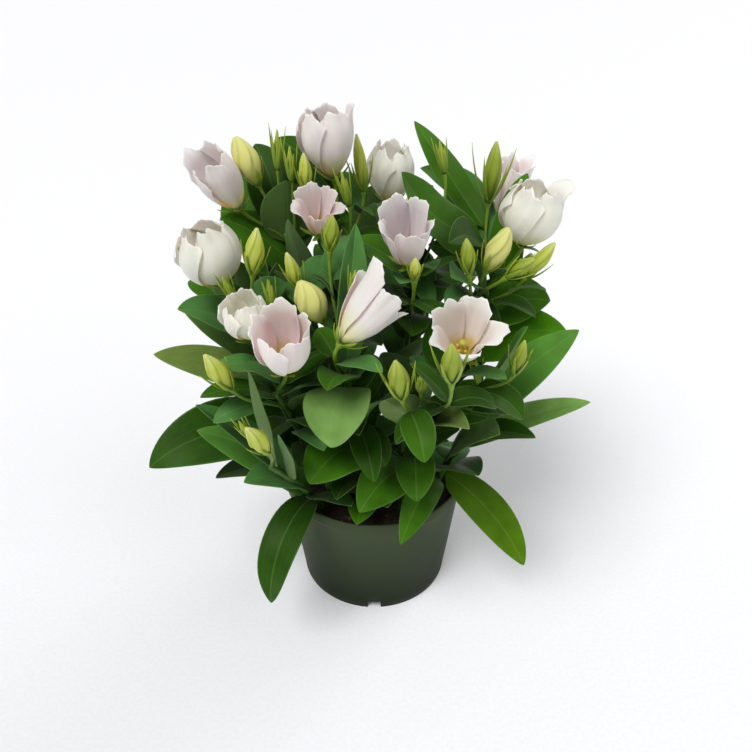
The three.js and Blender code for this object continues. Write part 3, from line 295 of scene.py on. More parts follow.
# Where the crown is dark behind its blooms: x, y, z of points that a leaf of the finer plant covers.
SHADED = (
    (-55, 40, 330), (-50, 35, 325), (-85, 25, 305), (-85, 15, 300), (-35, 40, 310), (-25, 25, 305),
    (0, 40, 305), (0, 30, 295), (0, 5, 280), (-5, 0, 270), (0, -5, 265), (35, 20, 300), (45, 50, 305),
    (40, 0, 270), (70, 0, 250), (-90, -15, 265), (-80, -15, 260), (-80, -25, 260), (-70, -10, 265),
    (-70, -20, 260), (-55, -30, 260), (-60, -35, 255), (-115, -20, 260), (-20, -30, 275), (5, -60, 235),
    (-35, -60, 230), (50, -60, 170), (-95, -60, 145), (35, -40, 235), (125, 35, 315), (-30, -10, 275),
    (-65, -15, 260), (-55, 40, 335), (-40, -10, 280), (45, 10, 270), (40, -15, 280), (5, -60, 230),
    (-55, -35, 265), (-110, -25, 260), (75, -50, 225), (-85, 25, 300), (55, -50, 165), (-15, 30, 320),
    (-5, -10, 280), (-5, -30, 290), (-40, 10, 275), (-40, 20, 270), (0, -30, 220), (0, -85, 250),
    (65, 10, 245), (50, -30, 155),
)


def linear(colour: str) -> tuple[float, float, float, float]:
    """Turns an sRGB hex colour to linear light.

    Args:
        colour: six hex digits after a hash sign.
    Returns:
        Red, green, blue and an alpha of 1.
    """
    parts = [int(colour[i:i + 2], 16) / 255 for i in (1, 3, 5)]
    red, green, blue = (c / 12.92 if c <= 0.04045 else ((c + 0.055) / 1.055) ** 2.4 for c in parts)
    return red, green, blue, 1.0


def unit(vectors: Array) -> Array:
    """Vectors at length one, along the last axis."""
    return vectors / np.maximum(np.linalg.norm(vectors, axis=-1, keepdims=True), 1e-12)


def mix(a: Array, b: Array, t: Array | float) -> Array:
    """A point between a and b at share t."""
    t = np.asarray(t, float)[..., None]
    return a * (1 - t) + b * t


def ease(low: float, high: float, x: Array) -> Array:
    """A smooth step from 0 at low to 1 at high."""
    t = np.clip((x - low) / (high - low), 0, 1)
    return t * t * (3 - 2 * t)


def bearing(tilt: float, azimuth: float) -> Array:
    """The direction that leans by tilt degrees from upright towards azimuth."""
    t, a = math.radians(tilt), math.radians(azimuth)
    return np.array([math.sin(t) * math.cos(a), math.sin(t) * math.sin(a), math.cos(t)])


def across(axis: Array) -> tuple[Array, Array]:
    """Two directions square to an axis and to each other.

    Args:
        axis: a direction.
    Returns:
        The first, from a fixed reference, and the second, square to both.
    """
    reference = np.array([0.0, 0.0, 1.0]) if abs(axis[2]) < 0.9 else np.array([1.0, 0.0, 0.0])
    first = unit(np.cross(reference, axis))
    return first, np.cross(axis, first)


def around(base: Array, axis: Array, first: Array, angle: Array, out: Array, height: Array) -> Array:
    """Points round an axis: up it by the height, then out at an angle from the first direction to the second.

    Args:
        base: where the axis starts.
        axis: its direction.
        first: a direction square to it; the second is square to both.
        angle: in radians.
        out: distance from the axis.
        height: distance along it.
    Returns:
        One point for each angle, distance and height.
    """
    second = np.cross(axis, first)
    ring = first * (np.cos(angle) * out)[..., None] + second * (np.sin(angle) * out)[..., None]
    return base + axis * height[..., None] + ring


def turns(sides: int) -> Array:
    """Equal steps once round, in radians."""
    return np.linspace(0, 2 * np.pi, sides, endpoint=False)


def draws(seed: int) -> Callable[[], float]:
    """A seeded run of draws between 0 and 1, by the linear congruence that the solids used.

    Args:
        seed: the first state.
    Returns:
        A function that gives the next draw.
    """
    state = [seed]

    def draw() -> float:
        """The next draw."""
        state[0] = (1664525 * state[0] + 1013904223) % 4294967296
        return state[0] / 4294967296

    return draw


def put(name: str, data: bpy.types.ID) -> bpy.types.Object:
    """Adds an object to the scene.

    Args:
        name: of the object.
        data: its mesh, camera or lamp.
    Returns:
        The object, at the origin.
    """
    made = bpy.data.objects.new(name, data)
    bpy.context.scene.collection.objects.link(made)
    return made


class Piece:
    """Closed shells gathered into one mesh, with named values on their points."""

    def __init__(self, name: str) -> None:
        """Starts an empty piece of that name."""
        self.name = name
        self.points: list[Array] = []
        self.faces: list[list[int]] = []
        self.values: dict[str, list[Array]] = {}
        self.count = 0

    def add(self, points: Array, faces: Sequence[Array], **values: Array | float) -> None:
        """Adds one shell.

        Args:
            points: its points, in millimetres.
            faces: arrays of corner numbers, one row a face.
            values: what each named attribute holds: one number, or a number or a row of three for each point.
        """
        points = points.reshape(-1, 3)
        self.points.append(points)
        for part in faces:
            self.faces.extend((part + self.count).tolist())
        for key, value in values.items():
            rows = np.asarray(value, float)
            rows = rows if rows.ndim == 2 else rows.reshape(-1, 1)
            self.values.setdefault(key, []).append(np.broadcast_to(rows, (len(points), rows.shape[1])))
        self.count += len(points)

    def make(self, finish: "Finish", stands_for: Sequence[str]) -> None:
        """Puts the shells into a mesh object with its finish, riding on the root body.

        Args:
            finish: the surface that it gets.
            stands_for: the nodes of the solids that it replaces.
        """
        mesh = bpy.data.meshes.new(self.name)
        mesh.from_pydata((np.concatenate(self.points) * MM).tolist(), [], self.faces)
        mesh.polygons.foreach_set("use_smooth", np.ones(len(mesh.polygons), bool))
        for key, parts in self.values.items():
            data = np.concatenate(parts).astype(np.float32)
            kind, field_name = ("FLOAT_VECTOR", "vector") if data.shape[1] == 3 else ("FLOAT", "value")
            mesh.attributes.new(key, kind, "POINT").data.foreach_set(field_name, data.ravel())
        mesh.validate()
        mesh.materials.append(finish.material())
        made = put(self.name, mesh)
        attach(made, "root")
        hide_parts(*stands_for)
        log.info("%s: %d triangles", self.name, sum(len(face) - 2 for face in self.faces))


def sheet(grid: Array, gauge: Array | float) -> tuple[Array, list[Array]]:
    """A thin closed shell round a grid of points: each point goes half the gauge along the normal, both ways.

    Args:
        grid: rows by columns of points on the middle surface.
        gauge: thickness, one number or one for each grid point.
    Returns:
        Its points, the upper face's before the lower's, and its faces.
    """
    rows, columns = grid.shape[:2]
    normal = unit(np.cross(np.gradient(grid, axis=0), np.gradient(grid, axis=1)))
    half = np.broadcast_to(np.asarray(gauge, float), (rows, columns))[..., None] / 2
    points = np.stack([grid + normal * half, grid - normal * half])
    up, down = np.arange(2 * rows * columns).reshape(2, rows, columns)

    def quads(a: Array, b: Array, c: Array, d: Array) -> Array:
        """Faces from four arrays of corners."""
        return np.stack([a, b, c, d], -1).reshape(-1, 4)

    faces = [
        quads(up[:-1, :-1], up[1:, :-1], up[1:, 1:], up[:-1, 1:]),
        quads(down[:-1, :-1], down[:-1, 1:], down[1:, 1:], down[1:, :-1]),
        quads(down[:-1, 0], down[1:, 0], up[1:, 0], up[:-1, 0]),
        quads(up[:-1, -1], up[1:, -1], down[1:, -1], down[:-1, -1]),
        quads(up[0, :-1], up[0, 1:], down[0, 1:], down[0, :-1]),
        quads(down[-1, :-1], down[-1, 1:], up[-1, 1:], up[-1, :-1]),
    ]
    return points, faces


def on_sheet(upper: Array, lower: Array | None = None) -> Array:
    """Grid values as sheet() orders its points, the lower face's the same unless they are given."""
    return np.stack([upper, upper if lower is None else lower]).ravel()


def rounded(rings: Array) -> tuple[Array, list[Array]]:
    """A closed body through rings of points, each end closed by a fan round its middle.

    Args:
        rings: rows by sides of points, counter-clockwise seen from the last ring.
    Returns:
        Its points, the two middles last, and its faces.
    """
    rows, sides = rings.shape[:2]
    points = np.concatenate([rings.reshape(-1, 3), rings[:1].mean(1), rings[-1:].mean(1)])
    at = np.arange(rows * sides).reshape(rows, sides)
    ahead = np.roll(at, -1, 1)
    foot, top = rows * sides, rows * sides + 1
    faces = [
        np.stack([at[:-1], ahead[:-1], ahead[1:], at[1:]], -1).reshape(-1, 4),
        np.stack([np.full(sides, foot), ahead[0], at[0]], -1),
        np.stack([np.full(sides, top), at[-1], ahead[-1]], -1),
    ]
    return points, faces


def on_rings(values: Array, sides: int) -> Array:
    """Values of each ring, or of each of its points, as rounded() orders its points."""
    values = np.broadcast_to(values, (len(values), sides))
    return np.concatenate([values.reshape(-1), values[:1].mean(1), values[-1:].mean(1)])


def tube_rings(path: Array, radius: Array, sides: int) -> Array:
    """Rings round a path, with a fixed reference turned square to the path at each point.

    Args:
        path: its points.
        radius: one for each point.
        sides: points in a ring.
    Returns:
        Rows by sides of points.
    """
    along = unit(np.gradient(path, axis=0))
    reference = np.eye(3)[int(np.argmin(np.abs(along).mean(0)))]
    first = unit(reference - (along @ reference)[:, None] * along)
    second = np.cross(along, first)
    a = turns(sides)[None, :, None]
    ring = first[:, None] * np.cos(a) + second[:, None] * np.sin(a)
    return path[:, None] + ring * radius[:, None, None]


@dataclass(frozen=True)
class Stem:
    """The middle line of a stem: a quadratic curve from the peat to the fork."""

    name: str
    foot: Array
    middle: Array
    fork: Array
    pairs: int
    first: float

    @classmethod
    def named(cls, name: str) -> "Stem":
        """The stem of that name in the table; its middle point rises over half the way to the fork.

        Args:
            name: a key of the table.
        Returns:
            The stem.
        """
        x, y, fork_x, fork_y, fork_z, lean, pairs, first = STEMS[name]
        middle = (x + lean * (fork_x - x), y + lean * (fork_y - y), COLLAR + 0.55 * (fork_z - COLLAR))
        return cls(name, np.array([x, y, COLLAR]), np.array(middle),
                   np.array([fork_x, fork_y, fork_z], float), pairs, first)

    def at(self, t: Array | float) -> Array:
        """The point at share t, by two rounds of mixing."""
        return mix(mix(self.foot, self.middle, t), mix(self.middle, self.fork, t), t)


@dataclass(frozen=True)
class Stalk:
    """The middle line of a stalk, from its share of the stem: a cubic that meets its seat along the axis."""

    stem: Stem
    share: float
    base: Array
    axis: Array

    def at(self, t: Array | float) -> Array:
        """The point at share t, by three rounds of mixing; it leaves the stem outwards and a little upwards.

        Args:
            t: share of the way from the stem to the seat.
        Returns:
            One point for each share.
        """
        start = self.stem.at(self.share)
        end = self.base - self.axis * SEAT_GAP
        reach = float(np.linalg.norm(end - start))
        out = unit(unit(end - start) + np.array([0, 0, 0.5]))
        first, second = start + out * 0.35 * reach, end - self.axis * 0.35 * reach
        a, b, c = mix(start, first, t), mix(first, second, t), mix(second, end, t)
        return mix(mix(a, b, t), mix(b, c, t), t)


@dataclass(frozen=True)
class Seat:
    """The end of a stalk: its radius, the stalk's own, and the length and spread in degrees of its sepals."""

    stalk: Stalk
    radius: float
    thin: float
    sepals: float
    spread: float


@dataclass(frozen=True)
class Leaf:
    """A blade whose rib is an arc in an upright plane."""

    base: Array
    azimuth: float
    rise: float
    reach: float
    width: float
    bend: float
    roll: float
    cup: float
    green: Green
    wave: float = 0.0

    @classmethod
    def to(cls, base: Array, tip: Sequence[float], bend: float, width: float, roll: float, cup: float,
           green: Green) -> "Leaf":
        """A leaf from a base to a tip: the arc's length is the chord times half the turn over its sine.

        Args:
            base: where it leaves its stem.
            tip: where its rib ends.
            bend: degrees that the rib turns down on its way.
            width: of the blade.
            roll: degrees that the blade turns about its rib.
            cup: degrees that its halves rise from the rib.
            green: its colour.
        Returns:
            The leaf.
        """
        chord = np.array(tip, float) - base
        half_turn = math.radians(bend) / 2
        rise = math.degrees(math.atan2(chord[2], math.hypot(chord[0], chord[1]))) + bend / 2
        azimuth = math.degrees(math.atan2(chord[1], chord[0]))
        reach = float(np.linalg.norm(chord)) * half_turn / math.sin(half_turn)
        return cls(base, azimuth, rise, reach, width, bend, roll, cup, green)

    def half_width(self, u: Array) -> Array:
        """Half the width at share u: a narrow foot that dies out plus a swell of u and 1 - u."""
        swell = np.power(u, 0.75) * np.power(1 - u, 0.8) * 2.93
        return (self.width / 2) * (0.2 * np.power(1 - u, 4) + swell) + 0.7

    def at(self, u: Array, v: Array, fine: bool = False) -> Array:
        """Points of the blade: the rib's arc, plus v half widths sideways, and up by the fold.

        Args:
            u: share from base 0 to tip 1.
            v: from edge -1 to edge 1.
            fine: whether the fold is rounded, the tip sharp and the margin waved.
        Returns:
            One point for each u and v.
        """
        u, v = np.broadcast_arrays(np.asarray(u, float), np.asarray(v, float))
        a = math.radians(self.azimuth)
        outward, level = np.array([math.cos(a), math.sin(a), 0]), np.array([-math.sin(a), math.cos(a), 0])
        start, turn = math.radians(self.rise), math.radians(self.bend)
        slope = start - turn * u
        forward = self.reach / turn * (math.sin(start) - np.sin(slope))
        upward = self.reach / turn * (np.cos(slope) - math.cos(start))
        normal = outward * -np.sin(slope)[..., None] + np.array([0, 0, 1]) * np.cos(slope)[..., None]
        twist = 24 * math.sin(1.7 * self.wave) * (u - 0.35) ** 2 * np.sign(u - 0.35) if fine else 0 * u
        r = np.radians(self.roll + twist)[..., None]
        side = level * np.cos(r) + normal * np.sin(r)
        up = -level * np.sin(r) + normal * np.cos(r)
        c = math.radians(self.cup)
        half = self.half_width(u) - (0.6 * u ** 6 if fine else 0)
        fold = self.waved(u, v, half) if fine else half * np.abs(v) * math.sin(c)
        rib = self.base + outward * forward[..., None] + np.array([0, 0, 1]) * upward[..., None]
        return rib + side * (half * v * math.cos(c))[..., None] + up * fold[..., None]

    def waved(self, u: Array, v: Array, half: Array) -> Array:
        """Rise off the flat blade: a rounded fold, less the edge's droop, plus a rippled margin and a wave.

        Args:
            u: share from base 0 to tip 1.
            v: from edge -1 to edge 1.
            half: half the width there.
        Returns:
            One height for each u and v.
        """
        fold = half * (np.sqrt(v * v + 0.012) - 0.11) * math.sin(math.radians(self.cup))
        droop = 0.05 * half * v ** 4 * (1 - u)
        ripple = np.sin(self.wave + 7.5 * u + 0.7 * np.sign(v)) * np.abs(v) ** 2.5
        margin = 0.1 * half * ripple * np.sin(np.pi * np.clip(u * 1.1, 0, 1))
        return fold - droop + margin + 0.02 * self.reach * np.sin(self.wave + 5 * u) * u * u

    def samples(self) -> Array:
        """Fifty points over the blade, by which its nearness to other things is judged."""
        u, v = np.meshgrid(np.arange(1, 11) / 10, np.arange(-2, 3) / 2, indexing="ij")
        return self.at(u.ravel(), v.ravel())


@dataclass(frozen=True)
class Search:
    """How a leaf looks for room: degrees to turn and lift it by, shares of its size, and its margin."""

    turns: Sequence[float]
    lifts: Sequence[float]
    sizes: Sequence[float]
    margin: float


# A margin below 0 lets a leaf overlap others a little, as leaves do in a dense crown.
LARGE_SEARCH = Search((0, 4, -4, 8, -8, 13, -13), (0, 5, -5, 10, -10, 16, -16), (1, 0.92, 0.84, 0.7), 0.2)
BRACT_SEARCH = replace(LARGE_SEARCH, sizes=(1, 0.9, 0.8, 0.65))
PAIR_SEARCH = Search((0, 12, -12, 24, -24, 36, -36), (0, 14, -14, 28), (1, 0.8, 0.62), 0.6)
STALK_SEARCH = Search((0, 20, -20, 40, -40), (0, 18, -18), (1, 0.8), 0.2)
SHADE_SEARCH = Search((0, 10, -10), (0,), (1, 0.8, 0.62), -1.4)
FILL_SEARCH = Search((0, 30, -30, 60, -60, 90), (0, 20, -20), (1, 0.8, 0.6), -1.4)


@dataclass(frozen=True)
class Thing:
    """Something already placed: points, and the radius that each stands for."""

    owner: str
    blade: bool
    points: Array
    radii: Array


class Thicket:
    """What is placed so far, and the search for postures that keep clear of it."""

    def __init__(self) -> None:
        """Starts with nothing placed."""
        self.things: list[Thing] = []
        self.lows, self.highs = np.empty((0, 3)), np.empty((0, 3))

    def remember(self, owner: str, blade: bool, points: Array, radii: Array | float) -> None:
        """Adds a thing with its box.

        Args:
            owner: the stem, bloom or bud that it belongs to.
            blade: whether it is a leaf.
            points: samples of it.
            radii: what each sample stands for, or one radius for all.
        """
        radii = np.broadcast_to(np.asarray(radii, float), (len(points),))
        self.things.append(Thing(owner, blade, points, radii))
        self.lows = np.vstack([self.lows, (points - radii[:, None]).min(0)])
        self.highs = np.vstack([self.highs, (points + radii[:, None]).max(0)])

    def touches(self, points: Array, owner: str, margin: float) -> bool:
        """Whether any sample of a blade is nearer to another thing than both radii and a margin.

        Args:
            points: the blade's samples.
            owner: the stem that it grows from, which it may touch.
            margin: room that is left besides; below 0 the things may overlap.
        Returns:
            Whether it touches.
        """
        reach = LEAF_SAMPLE + margin
        low, high = points.min(0) - reach, points.max(0) + reach
        for index in np.flatnonzero(((self.lows <= high) & (self.highs >= low)).all(1)):
            thing = self.things[index]
            if thing.owner == owner and not thing.blade:
                continue
            # Neighbours on one stem may lie closer, because their feet meet at it.
            loose = 3 if thing.owner == owner and margin > 0 else 0
            gap = ((points[:, None] - thing.points[None]) ** 2).sum(-1)
            far = LEAF_SAMPLE + thing.radii + margin - loose
            if (gap < (far * far)[None]).any():
                return True
        return False

    @staticmethod
    def clear_of_pot(points: Array) -> bool:
        """Whether all points are clear of the peat, the pot's rim and the table.

        Args:
            points: the samples of a leaf.
        Returns:
            Whether each is high enough for its distance from the pot's axis.
        """
        out, z = np.hypot(points[:, 0], points[:, 1]), points[:, 2]
        floor = np.where(out < PEAT_REACH, PEAT_TOP + 5, np.where(out < RIM_RADIUS + 4, POT_HEIGHT + 3, 5))
        return bool((z > floor).all())

    @classmethod
    def within_crown(cls, points: Array) -> bool:
        """Whether all points lie in the crown that leaves set by rule may fill.

        Args:
            points: the samples of a leaf.
        Returns:
            Whether each is clear of the pot and inside the crown's radius at its height.
        """
        out, z = np.hypot(points[:, 0], points[:, 1]), points[:, 2]
        reach = CROWN_RADIUS + np.maximum(0, z - CROWN_WIDENS_AT) * CROWN_SLOPE
        return cls.clear_of_pot(points) and bool((out < reach).all())

    def settle(self, leaf: Leaf, owner: str, search: Search, inside: Callable[[Array], bool]) -> Leaf | None:
        """The first nearby posture of a leaf that is clear, or None.

        Args:
            leaf: the posture that is wanted.
            owner: the stem that it grows from.
            search: the postures that are tried, and how far it stays from other things.
            inside: the space that it must lie in.
        Returns:
            The leaf as it is placed, which is also remembered.
        """
        for size, lift, turn in product(search.sizes, search.lifts, search.turns):
            tried = replace(leaf, azimuth=leaf.azimuth + turn, rise=leaf.rise + lift,
                            reach=leaf.reach * size, width=leaf.width * (0.4 + 0.6 * size))
            points = tried.samples()
            if inside(points) and not self.touches(points, owner, search.margin):
                self.remember(owner, True, points, LEAF_SAMPLE)
                return tried
        return None


@dataclass(frozen=True)
class Bloom:
    """A half-open bloom: five petals that grow from one ring and lap over each other."""

    name: str
    stalk: Stalk
    base: Array
    axis: Array
    low: Array
    tall: float
    foot: float
    middle: float
    rim: float
    half: float
    first: float
    flares: Sequence[float]
    lengths: Sequence[float]
    curls: Sequence[float]
    hue: Hue

    @classmethod
    def named(cls, name: str, stems: dict[str, Stem]) -> "Bloom":
        """The bloom of that name in the table.

        Args:
            name: a key of the table.
            stems: the plant's stems, by name.
        Returns:
            The bloom, with its stalk.
        """
        (stem, share, x, y, z, tilt, azimuth, tall, foot, middle, rim, half, first, flares, lengths,
         curls, hue) = BLOOMS[name]
        base, axis = np.array([x, y, z], float), bearing(tilt, azimuth)
        return cls(name, Stalk(stems[stem], share, base, axis), base, axis, bearing(tilt + 90, azimuth),
                   tall, foot, middle, rim, half, first, flares, lengths, curls, hue)

    @property
    def wind(self) -> float:
        """Degrees that the petals wind round the axis by their rims: more where the bloom is more closed."""
        return max(0.0, -0.6 * self.rim)

    @property
    def closed(self) -> float:
        """How closed the bloom is: 0 where its rim leans in by 20 degrees, 1 from 60 degrees."""
        return min(1.0, max(0.0, -(self.rim + 20) / 40))

    def wall(self, reach: Array, flare: float, curl: float = 0.0, lip: float = 0.0) -> tuple[Array, Array]:
        """Radius and height of the wall at a share of its length.

        The wall's slope is the quadratic through its angles at foot, middle and rim, plus a roll
        that grows over the last quarter and a lip that turns out at the very edge; radius and height are
        the running sums of its sine and cosine.

        Args:
            reach: shares of the length.
            flare: degrees added at the rim.
            curl: degrees that the rim rolls outwards.
            lip: degrees that its very edge turns out.
        Returns:
            Radius and height, in millimetres.
        """
        steps, beyond = 200, 40
        s = (np.arange(steps + beyond) + 0.5) / steps
        slope = (self.foot * (1 - s) * (1 - 2 * s) + self.middle * 4 * s * (1 - s)
                 + (self.rim + flare) * s * (2 * s - 1) + curl * ease(0.74, 1.08, s) ** 1.5
                 + lip * ease(0.86, 1.08, s))
        step = self.tall * WALL_STRETCH / steps
        ends = np.arange(steps + beyond + 1) / steps
        radius = np.concatenate([[THROAT], THROAT + np.cumsum(step * np.sin(np.radians(slope)))])
        height = np.concatenate([[0], np.cumsum(step * np.cos(np.radians(slope)))])
        return np.interp(reach, ends, radius), np.interp(reach, ends, height)

    def petal(self, k: int, u: Array, v: Array) -> Array:
        """Points of petal k: the wall at its reach, turned by v half widths, one edge over its neighbour.

        The reach shortens towards the edges, so that the rim is round, and frays at the rim by three
        waves. Three finer waves are added to the broad ruffle of the solid, and a crease runs up the middle.

        Args:
            k: which petal.
            u: share from base 0 to rim 1.
            v: from the edge -1, under a neighbour, to the edge 1, over the other.
        Returns:
            One point for each u and v.
        """
        drawn = 0.2 * min(1.0, max(0.0, self.curls[k] / 60))
        round_off = 1 - 0.09 * v * v * u - 0.1 * np.abs(v) ** 5 * u ** 3 - drawn * np.abs(v) ** 1.4 * u ** 3
        own, letters = 1.3 * k * k + len(self.name), len(self.name)
        frayed = 1 + u ** 9 * (0.022 * np.sin(8 * v + own) + 0.01 * np.sin(23 * v + 2 * own)
                               + 0.006 * np.sin(57 * v + 3 * own))
        reach = u * (1 + (self.lengths[k] - 1 + 0.06 * self.closed) * u) * round_off * frayed
        lip = 18 + 42 * self.closed * max(0.0, 1 - self.curls[k] / 30)
        radius, height = self.wall(reach, self.flares[k], self.curls[k], lip)
        free = np.clip((u - 0.2) / 0.26, 0, 1)
        half = 36 + (self.half - 36) * free
        angle = np.radians(self.first + 72 * k + half * v + self.wind * u * u)
        lap = LAP * v * np.minimum(1, np.clip((u - 0.1) / 0.1, 0, 1) * 0.7 + 0.3 * free)
        ruffle = 1.1 * u * u * np.sin(np.radians(200 * v + 70 * k + 40))
        ruffle = ruffle + 0.7 * u ** 5 * np.sin(np.radians(470 * v + 131 * k + 17 * letters))
        ruffle = ruffle + 0.35 * u ** 8 * np.sin(np.radians(1030 * v + 71 * k + 29 * letters))
        ruffle = ruffle + 0.3 * u * np.sin(7 * v + 4 * u + own) * (1 - v * v)
        crease = -0.5 * np.exp(-(v / 0.1) ** 2) * ease(0.1, 0.5, u)
        return around(self.base, self.axis, self.low, angle, radius + lap + ruffle + crease, height)

    def samples(self) -> Array:
        """Samples of the bloom's wall.

        Returns:
            Seventy points, in five rings.
        """
        u, a = np.meshgrid([0.15, 0.4, 0.65, 0.9, 1.0], np.arange(14) * 2 * np.pi / 14, indexing="ij")
        radius, height = self.wall(u, 6)
        return around(self.base, self.axis, self.low, a, radius, height).reshape(-1, 3)

    def build(self) -> None:
        """Five thin petals with rounded, frayed rims, closed at the base by a small cup."""
        piece = Piece("petals_" + self.name)
        rows, columns = np.linspace(0.03, 1, 34), np.sin(np.linspace(-1, 1, 27) * np.pi / 2)
        u, v = np.meshgrid(rows, columns, indexing="ij")
        gauge = PETAL_GAUGE * (1.5 - 0.9 * ease(0, 0.8, u) - 0.25 * v ** 8)
        for k in range(5):
            # Rows run up and columns run round, so the sheet's upper face looks into the bloom.
            piece.add(*sheet(self.petal(k, u, v), gauge), along=on_sheet(u), across=on_sheet(v),
                      inside=on_sheet(np.ones_like(u), np.zeros_like(u)))
        reach = np.array([0.004, 0.03, 0.07, 0.1])[:, None]
        radius, height = self.wall(reach, 0)
        cup = around(self.base, self.axis, self.low, turns(20), radius - 0.1, height)
        piece.add(*rounded(cup), along=on_rings(reach, 20), across=0.0, inside=0.0)
        piece.make(PETALS[self.hue],
                   ["bloom_" + self.name])


@dataclass(frozen=True)
class Bud:
    """A closed bud whose petals wind round it."""

    name: str
    stalk: Stalk
    base: Array
    axis: Array
    tall: float
    width: float
    twist: float
    sepals: float

    @classmethod
    def named(cls, name: str, stems: dict[str, Stem]) -> "Bud":
        """The bud of that name in the table.

        Args:
            name: a key of the table.
            stems: the plant's stems, by name.
        Returns:
            The bud, with its stalk.
        """
        stem, share, x, y, z, tip_x, tip_y, tip_z, width, twist, sepals = BUDS[name]
        base = np.array([x, y, z], float)
        body = np.array([tip_x, tip_y, tip_z], float) - base
        axis = unit(body)
        return cls(name, Stalk(stems[stem], share, base, axis), base, axis, float(np.linalg.norm(body)),
                   width, twist, sepals)

    def samples(self) -> tuple[Array, Array]:
        """Samples up the bud's axis.

        Returns:
            Seven points and the radius at each.
        """
        u = np.arange(7) / 6
        points = self.base + self.axis * (self.tall * u)[:, None]
        return points, self.width / 2 * np.sin(np.pi * (0.15 + 0.75 * u)) + 2.2

    def outline(self, u: Array) -> Array:
        """The bud's outline: straight between knots, then evened out, and fuller on a swollen bud.

        Args:
            u: share of the length.
        Returns:
            Share of half the width.
        """
        knots = [0, 0.08, 0.24, 0.42, 0.56, 0.74, 0.88, 0.97, 1.0]
        shares = [0.3, 0.5, 0.78, 0.98, 0.98, 0.76, 0.46, 0.24, 0.1]
        places = np.linspace(-0.06, 1.06, 160)
        window = 15
        padded = np.pad(np.interp(places, knots, shares), window // 2, mode="edge")
        share = np.interp(u, places, np.convolve(padded, np.ones(window) / window, mode="valid"))
        return share ** 0.82 if self.width > SWOLLEN_WIDTH else share

    def build(self) -> None:
        """A spindle with five pleats, each a slow rise and a quick fall round the bud, turned with height."""
        rows, sides = 30, 60
        u, a = np.linspace(0, 1, rows)[:, None], turns(sides)
        pleat = (5 * (a / (2 * np.pi)) - 5 * self.twist * 1.2 * u / 360) % 1
        lift = np.where(pleat < 0.86, pleat / 0.86, (1 - pleat) / 0.14)
        strength = 0.17 * ease(0.05, 0.45, u) + 0.12 * ease(0.7, 1, u)
        radius = self.width / 2 * self.outline(u) * (0.9 + strength * (lift - 0.5))
        first, _ = across(self.axis)
        lean = first * (0.03 * self.tall * np.sin(np.pi * u))[..., None]
        rings = around(self.base, self.axis, first, a, radius, self.tall * u) + lean
        piece = Piece("folded_bud_" + self.name)
        piece.add(*rounded(rings), along=on_rings(u, sides), pleat=on_rings(lift, sides))
        pale = self.name in PALE_BUDS
        skin = PALE_BUD if pale else YOUNG_BUD if self.name in YOUNG_BUDS else GREEN_BUD
        piece.make(skin, ["bud_" + self.name])


